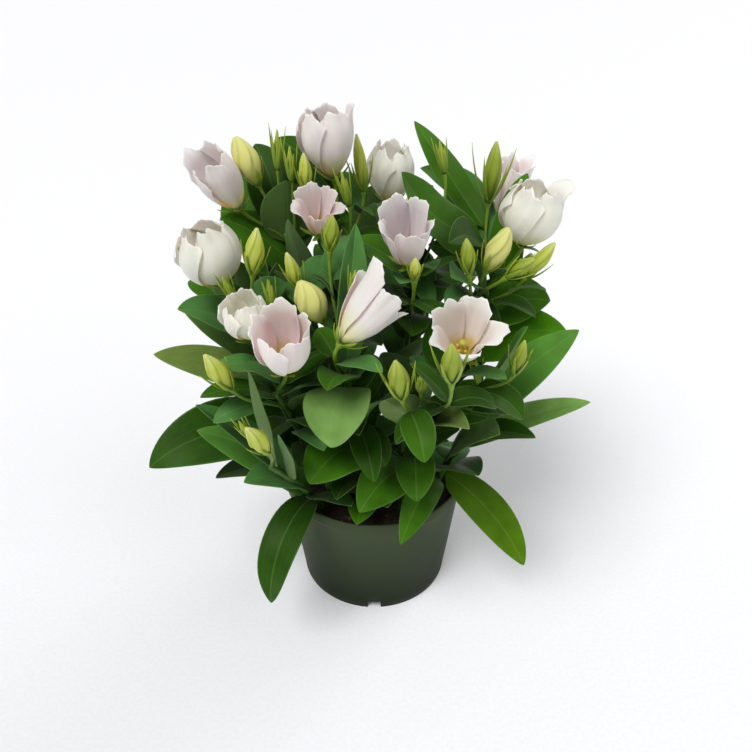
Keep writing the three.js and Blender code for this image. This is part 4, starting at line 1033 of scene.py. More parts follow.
@dataclass
class LeafyStem:
    """A stem with its stalks, sepals, green buds and leaves."""

    stem: Stem
    seats: list[Seat] = field(default_factory=list)
    green: list[tuple[Stalk, Array]] = field(default_factory=list)
    leaves: list[Leaf] = field(default_factory=list)

    def build(self) -> None:
        """Makes the woody parts and the blades as two pieces."""
        node = "stem_" + self.stem.name
        wood = Piece("stalks_" + self.stem.name)
        self.add_stem(wood)
        for seat in self.seats:
            self.add_stalk(wood, seat)
            self.add_sepals(wood, seat)
        for stalk, tip in self.green:
            self.add_green_bud(wood, stalk, tip)
        wood.make(STALK, [node])
        blades = Piece("leaves_" + self.stem.name)
        for number, leaf in enumerate(self.leaves):
            self.add_leaf(blades, leaf, number)
        blades.make(BLADE, [node])

    def add_stem(self, piece: Piece) -> None:
        """The stem: a tube that goes on down into the peat, thins upwards and swells where leaves leave it.

        Args:
            piece: what it is added to.
        """
        t = np.linspace(0, 1, 40)
        path = self.stem.at(t)
        path = np.concatenate([[path[0] - [0, 0, depth] for depth in (27, 10)], path])
        radius = STEM_FOOT_RADIUS + (STEM_TOP_RADIUS - STEM_FOOT_RADIUS) * t
        radius = radius * (1 + 0.12 * np.exp(-((t * 5 % 1 - 0.5) / 0.12) ** 2))
        radius = np.concatenate([[STEM_FOOT_RADIUS] * 2, radius])
        piece.add(*rounded(tube_rings(path, radius, 12)), lime=0.0)

    def add_stalk(self, piece: Piece, seat: Seat) -> None:
        """A stalk: a thin tube that widens over its last part into the seat of the bloom or bud.

        Args:
            piece: what it is added to.
            seat: its end, with its line.
        """
        sides = 9
        t = np.concatenate([np.linspace(0, 0.9, 16), np.linspace(0.93, 1, 5)])
        radius = seat.thin + (seat.radius - seat.thin) * ease(0.9, 1, t)
        rings = tube_rings(seat.stalk.at(t), radius, sides)
        piece.add(*rounded(rings), lime=on_rings(0.5 * t[:, None], sides))

    def add_sepals(self, piece: Piece, seat: Seat) -> None:
        """Five narrow keeled sepals, each a curve out from the seat that bends up to its point.

        Args:
            piece: what they are added to.
            seat: where they stand.
        """
        axis, spread = seat.stalk.axis, math.radians(seat.spread)
        first, second = across(axis)
        root = seat.stalk.at(1.0)
        u, v = np.meshgrid(np.linspace(0, 1, 9), np.linspace(-1, 1, 5), indexing="ij")
        half = (0.25 + 1.5 * np.power(1 - u, 0.7) * (0.75 + 0.6 * u)) * (1 - 0.9 * u ** 8)
        for k in range(5):
            a = 2 * math.pi * (k + 0.5) / 5
            outward = first * math.cos(a) + second * math.sin(a)
            long = seat.sepals * (0.86 + 0.07 * (3 * k % 5))
            up, out = axis * long * math.cos(spread), long * math.sin(spread)
            start = root + outward * (seat.radius - 0.5) - axis * 0.8
            middle = root + outward * (seat.radius + 0.7 * out) + 0.3 * up
            end = root + outward * (seat.radius + 0.2 + 0.95 * out) + up
            path = mix(mix(start, middle, u), mix(middle, end, u), u)
            side = np.cross(axis, outward)
            grid = path + side * (half * v)[..., None] - outward * (0.45 * half * v * v)[..., None]
            piece.add(*sheet(grid[:, ::-1], 0.5 - 0.2 * u), lime=on_sheet(0.35 + 0.45 * u))

    def add_green_bud(self, piece: Piece, stalk: Stalk, tip: Array) -> None:
        """A small bud wrapped in its sepals: a ribbed spindle with a drawn-out point, on a thin stalk.

        Args:
            piece: what it is added to.
            stalk: the line of its stalk.
            tip: the spindle's point.
        """
        rows, sides = 18, 20
        tall = float(np.linalg.norm(tip - stalk.base))
        seat = Seat(stalk, radius=1.4, thin=0.9, sepals=tall * 1.02, spread=8.0)
        self.add_stalk(piece, seat)
        u, a = np.linspace(0, 1, rows)[:, None], turns(sides)
        swell = np.interp(u, [0, 0.12, 0.32, 0.5, 0.72, 0.9, 1], [0.5, 0.82, 1, 0.86, 0.5, 0.22, 0.08])
        radius = GREEN_BUD_RADIUS * swell * (1 + 0.13 * np.cos(5 * a))
        rings = around(stalk.base, stalk.axis, across(stalk.axis)[0], a, radius, tall * u)
        piece.add(*rounded(rings), lime=on_rings(0.5 + 0.4 * u, sides))
        self.add_sepals(piece, replace(seat, radius=1.8))

    def add_leaf(self, piece: Piece, leaf: Leaf, number: int) -> None:
        """A blade as a thin shell, with its place, its distance from the rib, its colour and its side.

        Args:
            piece: what it is added to.
            leaf: its shape.
            number: its place in the stem's list, which sets its waves and its tone.
        """
        leaf = replace(leaf, wave=2.4 * number + len(self.stem.name))
        foot = 1.1 / leaf.reach
        rows, middle = (27, 13) if leaf.reach > LONG_LEAF else (17, 7)
        shares = foot + (1 - foot) * np.sin(np.linspace(0, 1, rows) * np.pi / 2) ** 1.15
        columns = np.concatenate([[-1, -0.95], np.linspace(-0.86, 0.86, middle), [0.95, 1]])
        u, v = np.meshgrid(shares, columns, indexing="ij")
        narrow = ease(0, 0.1, u - foot) * 0.85 + 0.15
        shell = sheet(leaf.at(u, v * narrow, fine=True), LEAF_GAUGE * (1 - 0.45 * v ** 6))
        tint = np.array(linear(leaf.green.value)[:3])
        piece.add(*shell, along=on_sheet(u), across=on_sheet(v), rib=on_sheet(np.abs(v) * leaf.half_width(u)),
                  upper=on_sheet(np.ones_like(u), np.zeros_like(u)),
                  tint=np.broadcast_to(tint, (2 * u.size, 3)), leaf=float(number))


@dataclass
class Plant:
    """The whole plant: stems, blooms, buds and leaves, set out as the solids were."""

    stems: dict[str, Stem] = field(default_factory=dict)
    blooms: dict[str, Bloom] = field(default_factory=dict)
    buds: dict[str, Bud] = field(default_factory=dict)
    branches: dict[str, LeafyStem] = field(default_factory=dict)
    thicket: Thicket = field(default_factory=Thicket)

    @property
    def plans(self) -> tuple[Bloom | Bud, ...]:
        """All that ends a stalk of its own."""
        return (*self.blooms.values(), *self.buds.values())

    def lay_out(self) -> None:
        """Places stems and stalks, then blooms and buds, then the leaves."""
        self.stems = {name: Stem.named(name) for name in STEMS}
        self.blooms = {name: Bloom.named(name, self.stems) for name in BLOOMS}
        self.buds = {name: Bud.named(name, self.stems) for name in BUDS}
        self.branches = {name: LeafyStem(stem) for name, stem in self.stems.items()}
        near = self.thicket
        for name, stem in self.stems.items():
            near.remember(name, False, stem.at(np.arange(41) / 40), STEM_SAMPLE)
        for plan in self.plans:
            near.remember(plan.stalk.stem.name, False, plan.stalk.at(np.arange(2, 23) / 22), STALK_SAMPLE)
        self.place_green_buds()
        for name, bloom in self.blooms.items():
            near.remember("bloom_" + name, False, bloom.samples(), BLOOM_SAMPLE)
            seat = Seat(bloom.stalk, radius=3.1, thin=1.2, sepals=11.0, spread=52.0)
            self.branches[bloom.stalk.stem.name].seats.append(seat)
        for name, bud in self.buds.items():
            near.remember("bud_" + name, False, *bud.samples())
            radius = 2.7 if bud.width > SWOLLEN_WIDTH else 2.0
            seat = Seat(bud.stalk, radius, thin=1.0, sepals=bud.sepals, spread=12 + 0.75 * bud.width)
            self.branches[bud.stalk.stem.name].seats.append(seat)
        self.hang_large_leaves()
        self.hang_ruled_leaves()
        self.hang_shade_leaves()
        self.hang_fill_leaves()

    def place_green_buds(self) -> None:
        """The small buds: each is a stalk and a tip, and is remembered as points along both."""
        for name, share, x, y, z, tip_x, tip_y, tip_z in GREEN_BUDS:
            base, tip = np.array([x, y, z], float), np.array([tip_x, tip_y, tip_z], float)
            stalk = Stalk(self.stems[name], share, base, unit(tip - base))
            points = np.concatenate([stalk.at(np.arange(2, 17) / 16), mix(base, tip, np.arange(6) / 5)])
            radii = np.array([STALK_SAMPLE] * 15 + [GREEN_BUD_SAMPLE] * 6)
            self.thicket.remember(name, False, points, radii)
            self.branches[name].green.append((stalk, tip))

    def grow(self, owner: str, leaf: Leaf, search: Search, inside: Callable[[Array], bool]) -> bool:
        """Settles a leaf and hangs it on its stem.

        Args:
            owner: the stem.
            leaf: the posture that is wanted.
            search: the postures that are tried.
            inside: the space that it must lie in.
        Returns:
            Whether it found room.
        """
        placed = self.thicket.settle(leaf, owner, search, inside)
        if placed is not None:
            self.branches[owner].leaves.append(placed)
        return placed is not None

    def hang_large_leaves(self) -> None:
        """The leaves that show as forms of their own, on the stems and then on the buds' stalks."""
        for name, share, x, y, z, *form in LARGE_LEAVES:
            leaf = Leaf.to(self.stems[name].at(share), (x, y, z), *form)
            self.grow(name, leaf, LARGE_SEARCH, Thicket.clear_of_pot)
        for name, share, x, y, z, *form in BRACT_LEAVES:
            stalk = self.buds[name].stalk
            leaf = Leaf.to(stalk.at(share), (x, y, z), *form)
            self.grow(stalk.stem.name, leaf, BRACT_SEARCH, Thicket.clear_of_pot)

    def hang_ruled_leaves(self) -> None:
        """Opposite pairs up each stem, each turned by a right angle from the last, and one by each bloom."""
        draw = draws(20)
        for name, stem in self.stems.items():
            for pair, half in product(range(stem.pairs), (0, 180)):
                share = 0.2 + 0.76 * pair / max(1, stem.pairs - 1)
                reach = 72 - 34 * share + 10 * draw()
                azimuth = stem.first + 90 * pair + half + 24 * (draw() - 0.5)
                rise = 42 + 22 * draw()
                width = reach * (0.4 + 0.08 * draw())
                bend, roll, cup = 40 + 50 * draw(), 30 * (draw() - 0.5), 10 + 14 * draw()
                green = Green.DEEP if share < 0.5 else Green.MID if half else Green.BLUE
                leaf = Leaf(stem.at(share), azimuth, rise, reach, width, bend, roll, cup, green)
                self.grow(name, leaf, PAIR_SEARCH, Thicket.within_crown)
        for bloom in self.blooms.values():
            azimuth = math.degrees(math.atan2(bloom.base[1], bloom.base[0])) + 120 * (draw() - 0.5)
            rise, reach, width = 30 + 20 * draw(), 26 + 10 * draw(), 13 + 5 * draw()
            bend, roll, cup = 30 + 30 * draw(), 40 * (draw() - 0.5), 12 + 10 * draw()
            leaf = Leaf(bloom.stalk.at(0.5), azimuth, rise, reach, width, bend, roll, cup, Green.BLUE)
            self.grow(bloom.stalk.stem.name, leaf, STALK_SEARCH, Thicket.clear_of_pot)

    def hang_shade_leaves(self) -> None:
        """A leaf across the line of sight to each dark place: the first drawn posture that is clear."""
        bearers = [*self.stems.items(), *((plan.stalk.stem.name, plan.stalk) for plan in self.plans)]
        shares = (0.15, 0.3, 0.45, 0.6, 0.75, 0.9)
        spots = [(name, bearer.at(share)) for name, bearer in bearers for share in shares]
        draw = draws(7)
        for place in SHADED:
            if not any(self.grow(name, leaf, SHADE_SEARCH, Thicket.clear_of_pot)
                       for name, leaf in self.postures(np.array(place, float), spots, draw)):
                log.info("no leaf found room at %s", place)

    @staticmethod
    def postures(place: Array, spots: Sequence[tuple[str, Array]],
                 draw: Callable[[], float]) -> Iterator[tuple[str, Leaf]]:
        """Drawn leaves that show their face to the camera and reach a third past a place or behind it.

        Args:
            place: the place to cover.
            spots: points of stems and stalks that may bear the leaf, each with its stem's name.
            draw: the seeded draws.
        Yields:
            The stem's name and the leaf.
        """
        sight = unit(place - np.array(Studio.eye) / MM)
        nearest, farthest, drop = 14, 60, 4
        bases, tries, least_facing = 10, 4, 0.5
        for behind in (0, 14, -14, 28, 42, 58, 76, 96):
            target = place + behind * sight
            far = [(float(np.linalg.norm(target - base)), name, base) for name, base in spots]
            near = [row for row in far if nearest < row[0] < farthest and row[2][2] < target[2] - drop]
            for reach, name, base in sorted(near, key=lambda row: row[0])[:bases]:
                for _ in range(tries):
                    bend, roll = 8 + 50 * draw(), 120 * (draw() - 0.5)
                    width = (0.45 + 0.2 * draw()) * reach + 6
                    green = (Green.DEEP, Green.MID, Green.BLUE)[int(3 * draw())]
                    leaf = Leaf.to(base, base + 1.3 * (target - base), bend, width, roll, 10, green)
                    at = leaf.at(np.array([0.6, 0.8, 0.7, 0.7]), np.array([0, 0, -0.5, 0.5]))
                    if abs(unit(np.cross(at[1] - at[0], at[3] - at[2])) @ sight) > least_facing:
                        yield name, leaf

    def hang_fill_leaves(self) -> None:
        """Smaller leaves that close the crown between the others, at drawn places up stems and stalks."""
        draw = draws(11)
        low, high = (np.array(c) / MM for c in CAD_BOX)

        def inside(points: Array) -> bool:
            """Whether all points are in the crown and in the solids' own box."""
            return Thicket.within_crown(points) and bool(((points > low + 1) & (points < high - 1)).all())

        rounds = 28
        spots = [(name, stem, 1 - (1 - (turn + draw()) / rounds) ** 1.4)
                 for turn in range(rounds) for name, stem in self.stems.items()]
        spots += [(plan.stalk.stem.name, plan.stalk, share + 0.1 * draw())
                  for share in (0.05, 0.25, 0.45, 0.65, 0.15, 0.35, 0.55) for plan in self.plans]
        for name, bearer, share in spots:
            reach = (58 - 22 * share if isinstance(bearer, Stem) else 34 - 12 * share) + 10 * draw()
            azimuth, rise = 360 * draw(), 5 + 55 * draw()
            width = reach * (0.42 + 0.16 * draw())
            bend, roll, cup = 20 + 70 * draw(), 50 * (draw() - 0.5), 8 + 14 * draw()
            green = (Green.DEEP, Green.MID, Green.DEEP, Green.BLUE)[int(4 * draw())]
            leaf = Leaf(bearer.at(share), azimuth, rise, reach, width, bend, roll, cup, green)
            self.grow(name, leaf, FILL_SEARCH, inside)

    def build(self) -> None:
        """Makes every piece of the plant."""
        for part in (*self.branches.values(), *self.plans):
            part.build()
        for name in OPEN_BLOOMS:
            Pistil(self.blooms[name]).build()


@dataclass(frozen=True)
class Pistil:
    """The green pistil with its two-lobed head, and five yellow stamens round it."""

    bloom: Bloom

    def build(self) -> None:
        """Tubes of changing radius along the bloom's axis and beside it."""
        piece = Piece("pistil_and_stamens_" + self.bloom.name)
        axis = self.bloom.axis
        first, second = self.bloom.low, np.cross(axis, self.bloom.low)
        floor = self.bloom.base + axis * (float(self.bloom.wall(np.array(0.1), 0)[1]) + SEAT_GAP)
        h = np.linspace(0, 14, 24)
        radius = np.interp(h, [0, 2, 4.5, 7, 11, 12.2, 13.2, 14], [1.1, 1.9, 1.8, 0.8, 0.8, 1.8, 2.3, 0.9])
        piece.add(*rounded(tube_rings(floor + axis * h[:, None], radius, 14)), gold=0.25)
        t = np.linspace(0, 1, 12)
        anther = np.clip((t - 0.68) / 0.32, 0, 1)
        radius = 0.35 + 0.75 * np.sin(np.pi * anther)
        for k in range(5):
            a = math.radians(72 * k + 36)
            out = first * math.cos(a) + second * math.sin(a)
            path = floor + axis * (2.5 + 6.5 * t)[:, None] + out * (1.4 + 2.0 * t ** 1.2)[:, None]
            piece.add(*rounded(tube_rings(path, radius, 8)), gold=1.0)
        piece.make(PISTIL, ["pistil_" + self.bloom.name])


@dataclass(frozen=True)
class Pot:
    """A thin moulded pot: a foot ring with notches, a tapered wall and a wider band under a rolled rim."""

    under: Sequence[tuple[float, float]] = ((0.5, 0.2), (43, 0.2), (45.5, 5.6), (46.6, 6.4), (55.4, 6.4))
    foot: Sequence[tuple[float, float]] = ((56.6, 5.6), (56.9, 0.3), (57.3, 0), (58.1, 0), (58.5, 0.5))
    wall: Sequence[tuple[float, float]] = (
        (59.2, 7), (60.4, 17), (61.6, 27), (62.7, 37), (63.8, 47), (64.9, 57), (66.1, 67), (67.2, 77),
        (68.2, 85.6))
    band: Sequence[tuple[float, float]] = (
        (68.5, 87.6), (69.3, 88.6), (69.8, 89.1), (69.9, 90), (69.9, 95.6), (69.5, 96.6), (68.9, 97),
        (68.3, 96.8))
    inside: Sequence[tuple[float, float]] = (
        (67.9, 96), (67.2, 90), (66.2, 78), (64.4, 60), (61.5, 36), (58.2, 11), (57.2, 9.2), (45, 9.1),
        (43.6, 8.4), (41.8, 3.2), (40.6, 2.4), (0.5, 2.4))

    def build(self) -> None:
        """The profile carried round the axis, the foot's lower edge raised where a notch is cut."""
        profile = np.array([*self.under, *self.foot, *self.wall, *self.band, *self.inside])
        step = 360 / NOTCH_COUNT
        half = math.degrees(math.asin(NOTCH_WIDTH / 2 / FOOT_RADIUS))
        corner, shoulder, between = 0.35, 1.6, 41
        spots = np.concatenate([[-half - corner, -half, -half * 0.5, 0, half * 0.5, half, half + corner],
                                np.linspace(half + shoulder, step - half - shoulder, between)])
        angles = np.radians((-90 + (spots[None] + step * np.arange(NOTCH_COUNT)[:, None])).ravel())
        cut = np.tile(np.abs(spots) <= half + 1e-6, NOTCH_COUNT)
        radius, height = profile[:, :1], profile[:, 1:]
        low = (radius >= self.foot[0][0]) & (height < NOTCH_HEIGHT)
        z = np.where(low & cut, NOTCH_HEIGHT, height)
        piece = Piece("nursery_pot")
        # level, the share of the pot's height, carries the finish's painted light at the rim and painted
        # shade at the foot
        piece.add(*rounded(np.stack([radius * np.cos(angles), radius * np.sin(angles), z], -1)),
                  level=on_rings(height / POT_HEIGHT, len(angles)))
        piece.make(POT_PLASTIC, ["pot"])


@dataclass(frozen=True)
class Peat:
    """The peat: a body that fills the pot, with a crumbly top and loose bits on it."""

    crumbs: int = 420
    crumb_reach: float = 64.5

    def surface(self, x: Array, y: Array) -> Array:
        """Height of the top: broad swells, then finer and finer ones, as sums of crossed sines.

        Args:
            x: place across.
            y: place in depth.
        Returns:
            One height for each place.
        """
        height = np.zeros_like(x)
        for size, much in ((31, 1.6), (17, 1.0), (8.3, 0.8), (4.1, 0.55), (2.3, 0.35)):
            wave = np.sin(x / size * 2.2 + 1.3 * size)
            height += much * wave * np.sin(y / size * 2.0 + 0.7 * size + x / size)
        return PEAT_TOP - 0.6 + height

    def build(self) -> None:
        """The body's rings, then crumbs as small lumps that lie in its top."""
        foot = FOOT_RADIUS - WALL + 0.9
        top = RIM_RADIUS - WALL - 0.6

        def inner(z: float) -> float:
            """Radius of the pot's inner wall at a height, less a small gap."""
            return foot + (top - foot) * (z - 9) / (POT_HEIGHT - 9) - 0.75

        a = turns(180)
        lower = np.array([(39.5, 2.9), (43.7, 9.5), (inner(9.5), 9.5), (inner(45), 45), (inner(78), 78)])
        upper = np.linspace(inner(82), 1.2, 58)[:, None]
        surface = self.surface(upper * np.cos(a), upper * np.sin(a)) - 1.2 * ease(60, 66, upper)
        radii = np.concatenate([lower[:, :1], upper])
        z = np.concatenate([lower[:, 1:] + 0 * a, surface])
        piece = Piece("peat_fill")
        piece.add(*rounded(np.stack([radii * np.cos(a), radii * np.sin(a), z], -1)), bit=0.0)
        self.add_crumbs(piece)
        piece.make(PEAT, ["peat"])

    def add_crumbs(self, piece: Piece) -> None:
        """Each crumb is a small lump of ten corners whose distances from its middle are drawn.

        Args:
            piece: what they are added to.
        """
        rng = np.random.default_rng(5)
        corners = [[np.cos(b) * wide, np.sin(b) * wide, z] for z, wide in ((-0.55, 0.8), (0.35, 0.9))
                   for b in np.arange(4) * np.pi / 2]
        shape = np.array([*corners, [0, 0, -0.9], [0, 0, 0.9]])
        ring = np.arange(4)
        ahead = (ring + 1) % 4
        faces = [np.stack([ring, ahead, ahead + 4, ring + 4], -1), np.stack([np.full(4, 8), ahead, ring], -1),
                 np.stack([np.full(4, 9), ring + 4, ahead + 4], -1)]
        for _ in range(self.crumbs):
            r, b = self.crumb_reach * math.sqrt(rng.random()), rng.random() * 2 * math.pi
            size = 0.5 + 1.5 * rng.random() ** 2
            spin = rng.random() * 2 * math.pi
            lump = shape * size * (0.7 + 0.6 * rng.random((10, 1))) * np.array([1.5, 0.9, 0.6])
            c, s = math.cos(spin), math.sin(spin)
            lump = lump @ np.array([[c, s, 0], [-s, c, 0], [0, 0, 1]])
            x, y = r * math.cos(b), r * math.sin(b)
            z = float(self.surface(np.array([x]), np.array([y]))[0]) + 0.15 * size
            piece.add(lump + [x, y, min(z, PEAT_TOP + 1.5)], faces, bit=float(0.25 + 0.75 * rng.random()))


def add_node(tree: bpy.types.NodeTree, kind: str, inputs: dict | None = None, output: int | str = 0,
             stops: Sequence = (), **settings: object) -> Socket | None:
    """Adds one node with its settings and links.

    A colour mix takes its share at socket 0 and its colours at 6 and 7, and gives its result at 2. A map
    range takes the value at 0, the span that it comes from at 1 and 2, and its new span at 3 and 4.

    Args:
        tree: the material's node tree.
        kind: the node's type, without the words that every shader node's type starts with.
        inputs: socket name or number to a value, or to another node's socket.
        output: the name or number of the socket that is wanted.
        stops: for a colour ramp, its positions and colours, a grey as one number.
        settings: the node's own properties.
    Returns:
        The wanted output socket, or None from a node that has none.
    """
    made = tree.nodes.new("ShaderNode" + kind)
    for key, value in settings.items():
        setattr(made, key, value)
    for key, value in (inputs or {}).items():
        if isinstance(value, Socket):
            tree.links.new(value, made.inputs[key])
        else:
            made.inputs[key].default_value = value
    if stops:
        ramp = made.color_ramp
        while len(ramp.elements) < len(stops):
            ramp.elements.new(0.5)
        for element, (position, colour) in zip(ramp.elements, stops):
            element.position = position
            element.color = linear(colour) if isinstance(colour, str) else (colour, colour, colour, 1)
    return made.outputs[output] if made.outputs else None


@dataclass(frozen=True)
class Finish:
    """A surface: a name, and the nodes that its own class adds."""

    name: str

    def material(self) -> bpy.types.Material:
        """The material, made at its first use: the finish's own nodes, then its shader and the output.

        Returns:
            The material.
        """
        found = bpy.data.materials.get(self.name)
        if found is not None:
            return found
        made = bpy.data.materials.new(self.name)
        made.use_nodes = True
        made.node_tree.nodes.clear()
        add = partial(add_node, made.node_tree)
        sockets = self.wire(add, add("TexCoord", output="Object"))
        add("OutputMaterial", {0: add("BsdfPrincipled", sockets)})
        return made

    def wire(self, add: Callable[..., Socket], place: Socket) -> dict:
        """Adds the nodes that colour and roughen the surface.

        Args:
            add: adds a node to the material's tree.
            place: the object's own coordinates.
        Returns:
            What each socket of the shader gets.
        """
        raise NotImplementedError


@dataclass(frozen=True)
class LeafBlade(Finish):
    """Living lisianthus leaf, waxed by its own cuticle.

    The eye gets a satin blue-green upper face with a paler rib, faint veins that run from base to tip,
    a fine pale margin, slow blotches of tone, painted shade at the base that lightens towards the tip,
    and a matt grey-green underside.
    """

    under: str = "#66804a"
    rib: str = "#7a9a58"

    def wire(self, add: Callable[..., Socket], place: Socket) -> dict:
        """Rib by distance in millimetres, veins by place across, blotches by noise 9 mm wide.

        Args:
            add: adds a node to the material's tree.
            place: the object's own coordinates.
        Returns:
            What each socket of the shader gets.
        """
        along, across_blade, from_rib, upper, leaf = (add("Attribute", output="Fac", attribute_name=name)
                                                      for name in ("along", "across", "rib", "upper", "leaf"))
        tint = add("Attribute", output="Vector", attribute_name="tint")
        away = add("Math", {0: across_blade}, operation="ABSOLUTE")
        near_rib = add("Math", {0: from_rib, 1: 0.2}, operation="MULTIPLY")
        rib = add("ValToRGB", {0: near_rib}, stops=[(0, 1.0), (0.07, 0.75), (0.16, 0.0)])
        veins = add("ValToRGB", {0: away}, stops=[
            (0, 0.0), (0.31, 0.0), (0.335, 1.0), (0.36, 0.0), (0.62, 0.0), (0.645, 0.8), (0.67, 0.0)])
        margin = add("ValToRGB", {0: away}, stops=[(0.93, 0.0), (0.985, 1.0)])
        blotch = add("TexNoise", {"Vector": place, "Scale": 60.0, "Detail": 3.0})
        grain = add("TexNoise", {"Vector": place, "Scale": 900.0, "Detail": 2.0})
        phase = add("Math", {0: leaf, 1: 2.3}, operation="MULTIPLY")
        swing = add("Math", {0: phase}, operation="SINE")
        tone = add("MapRange", {0: blotch, 1: 0.3, 2: 0.7, 3: 0.8, 4: 1.2})
        # Painted shade along the blade: darker at the base, where the crown shades it, and lighter towards
        # the tip
        painted_shade_by_length = add("MapRange", {0: along, 1: 0.1, 2: 0.95, 3: 0.72, 4: 1.28})
        by_leaf = add("MapRange", {0: swing, 1: -1.0, 2: 1.0, 3: 0.82, 4: 1.16})
        for factor in (painted_shade_by_length, by_leaf):
            tone = add("Math", {0: tone, 1: factor}, operation="MULTIPLY")
        top = add("VectorMath", {0: tint, "Scale": tone}, operation="SCALE")
        for mask, strength in ((rib, 0.2), (veins, 0.05), (margin, 0.25)):
            share = add("Math", {0: mask, 1: strength}, operation="MULTIPLY")
            top = add("Mix", {0: share, 6: top, 7: linear(self.rib)}, output=2, data_type="RGBA")
        under = add("Mix", {0: 0.55, 6: top, 7: linear(self.under)}, output=2, data_type="RGBA")
        relief = add("Math", {0: grain, 1: 0.2}, operation="MULTIPLY")
        for mask, depth in ((rib, -0.8), (veins, -0.2)):
            relief = add("Math", {0: mask, 1: depth, 2: relief}, operation="MULTIPLY_ADD")
        return {
            "Base Color": add("Mix", {0: upper, 6: under, 7: top}, output=2, data_type="RGBA"),
            "Roughness": add("MapRange", {0: grain, 1: 0.3, 2: 0.7, 3: 0.4, 4: 0.55}),
            "Normal": add("Bump", {"Height": relief, "Strength": 0.35, "Distance": 0.0005}),
            "IOR": 1.4, "Specular IOR Level": 0.15, "Specular Tint": (0.95, 1.0, 0.75, 1.0),
            "Sheen Weight": 0.06, "Sheen Roughness": 0.5, "Sheen Tint": (0.85, 1.0, 0.72, 1.0),
            "Subsurface Weight": 0.08, "Subsurface Radius": (0.6, 1.0, 0.3), "Subsurface Scale": 0.002}


@dataclass(frozen=True)
class GreenStalk(Finish):
    """Fresh herb stalk and sepal skin: smooth, darker green below and lime at the points."""

    low: str = "#375f18"
    high: str = "#76942a"
    tip: str = "#b0bc46"

    def wire(self, add: Callable[..., Socket], place: Socket) -> dict:
        """Tone by the piece's own values, blotched by noise 5 mm wide.

        Args:
            add: adds a node to the material's tree.
            place: the object's own coordinates.
        Returns:
            What each socket of the shader gets.
        """
        lime = add("Attribute", output="Fac", attribute_name="lime")
        noise = add("TexNoise", {"Vector": place, "Scale": 200.0, "Detail": 3.0})
        shift = add("Math", {0: noise, 1: 0.35, 2: -0.17}, operation="MULTIPLY_ADD")
        tone = add("Math", {0: lime, 1: shift}, operation="ADD")
        return {
            "Base Color": add("ValToRGB", {0: tone}, stops=[(0, self.low), (0.5, self.high), (1, self.tip)]),
            "Roughness": 0.45, "IOR": 1.4,
            "Normal": add("Bump", {"Height": noise, "Strength": 0.2, "Distance": 0.0003}),
            "Subsurface Weight": 0.1, "Subsurface Radius": (0.7, 1.0, 0.3), "Subsurface Scale": 0.002}


@dataclass(frozen=True)
class PetalSilk(Finish):
    """Living petal: thin, soft and slightly translucent, with a silky sheen.

    The eye gets a pale body that warms to yellow-green at the base, a deeper colour on the inner face,
    fine veins that fan up from the base, and soft blotches.
    """

    outer: str
    inner: str
    rim: str
    base: str
    foot: str = "#9aa84c"
    throat: str = "#a88a3a"
    glow: str = "#d9b06c"

    def wire(self, add: Callable[..., Socket], place: Socket) -> dict:
        """Colour by the height up the petal and by its face, veins by a wave across it.

        Args:
            add: adds a node to the material's tree.
            place: the object's own coordinates.
        Returns:
            What each socket of the shader gets.
        """
        along, across_petal, inside = (add("Attribute", output="Fac", attribute_name=name)
                                       for name in ("along", "across", "inside"))
        cloud = add("TexNoise", {"Vector": place, "Scale": 70.0, "Detail": 3.0})
        fine = add("TexNoise", {"Vector": place, "Scale": 700.0, "Detail": 2.0})
        shift = add("Math", {0: cloud, 1: 0.25, 2: -0.125}, operation="MULTIPLY_ADD")
        height = add("Math", {0: along, 1: shift}, operation="ADD")
        outer = add("ValToRGB", {0: height}, stops=[
            (0.02, self.foot), (0.18, self.base), (0.52, self.outer), (0.86, self.outer), (0.99, self.rim)])
        inner = add("ValToRGB", {0: height}, stops=[
            (0.05, self.throat), (0.26, self.glow), (0.42, self.inner), (0.8, self.inner), (0.98, self.rim)])
        colour = add("Mix", {0: inside, 6: outer, 7: inner}, output=2, data_type="RGBA")
        veins = add("Math", {0: across_petal, 1: 55.0}, operation="MULTIPLY")
        for operation in ("SINE", "ABSOLUTE"):
            veins = add("Math", {0: veins}, operation=operation)
        veins = add("Math", {0: veins, 1: 6.0}, operation="POWER")
        faint = add("Math", {0: veins, 1: 0.07}, operation="MULTIPLY")
        veined = add("Mix", {0: faint, 6: colour, 7: linear(self.inner)}, output=2, data_type="RGBA")
        relief = add("Math", {0: veins, 1: -0.5, 2: fine}, operation="MULTIPLY_ADD")
        return {
            "Base Color": veined, "Roughness": 0.55, "IOR": 1.35,
            "Sheen Weight": 0.15, "Sheen Roughness": 0.5,
            "Normal": add("Bump", {"Height": relief, "Strength": 0.25, "Distance": 0.0003}),
            "Subsurface Weight": 0.6, "Subsurface Radius": (1.0, 0.8, 0.75), "Subsurface Scale": 0.004}


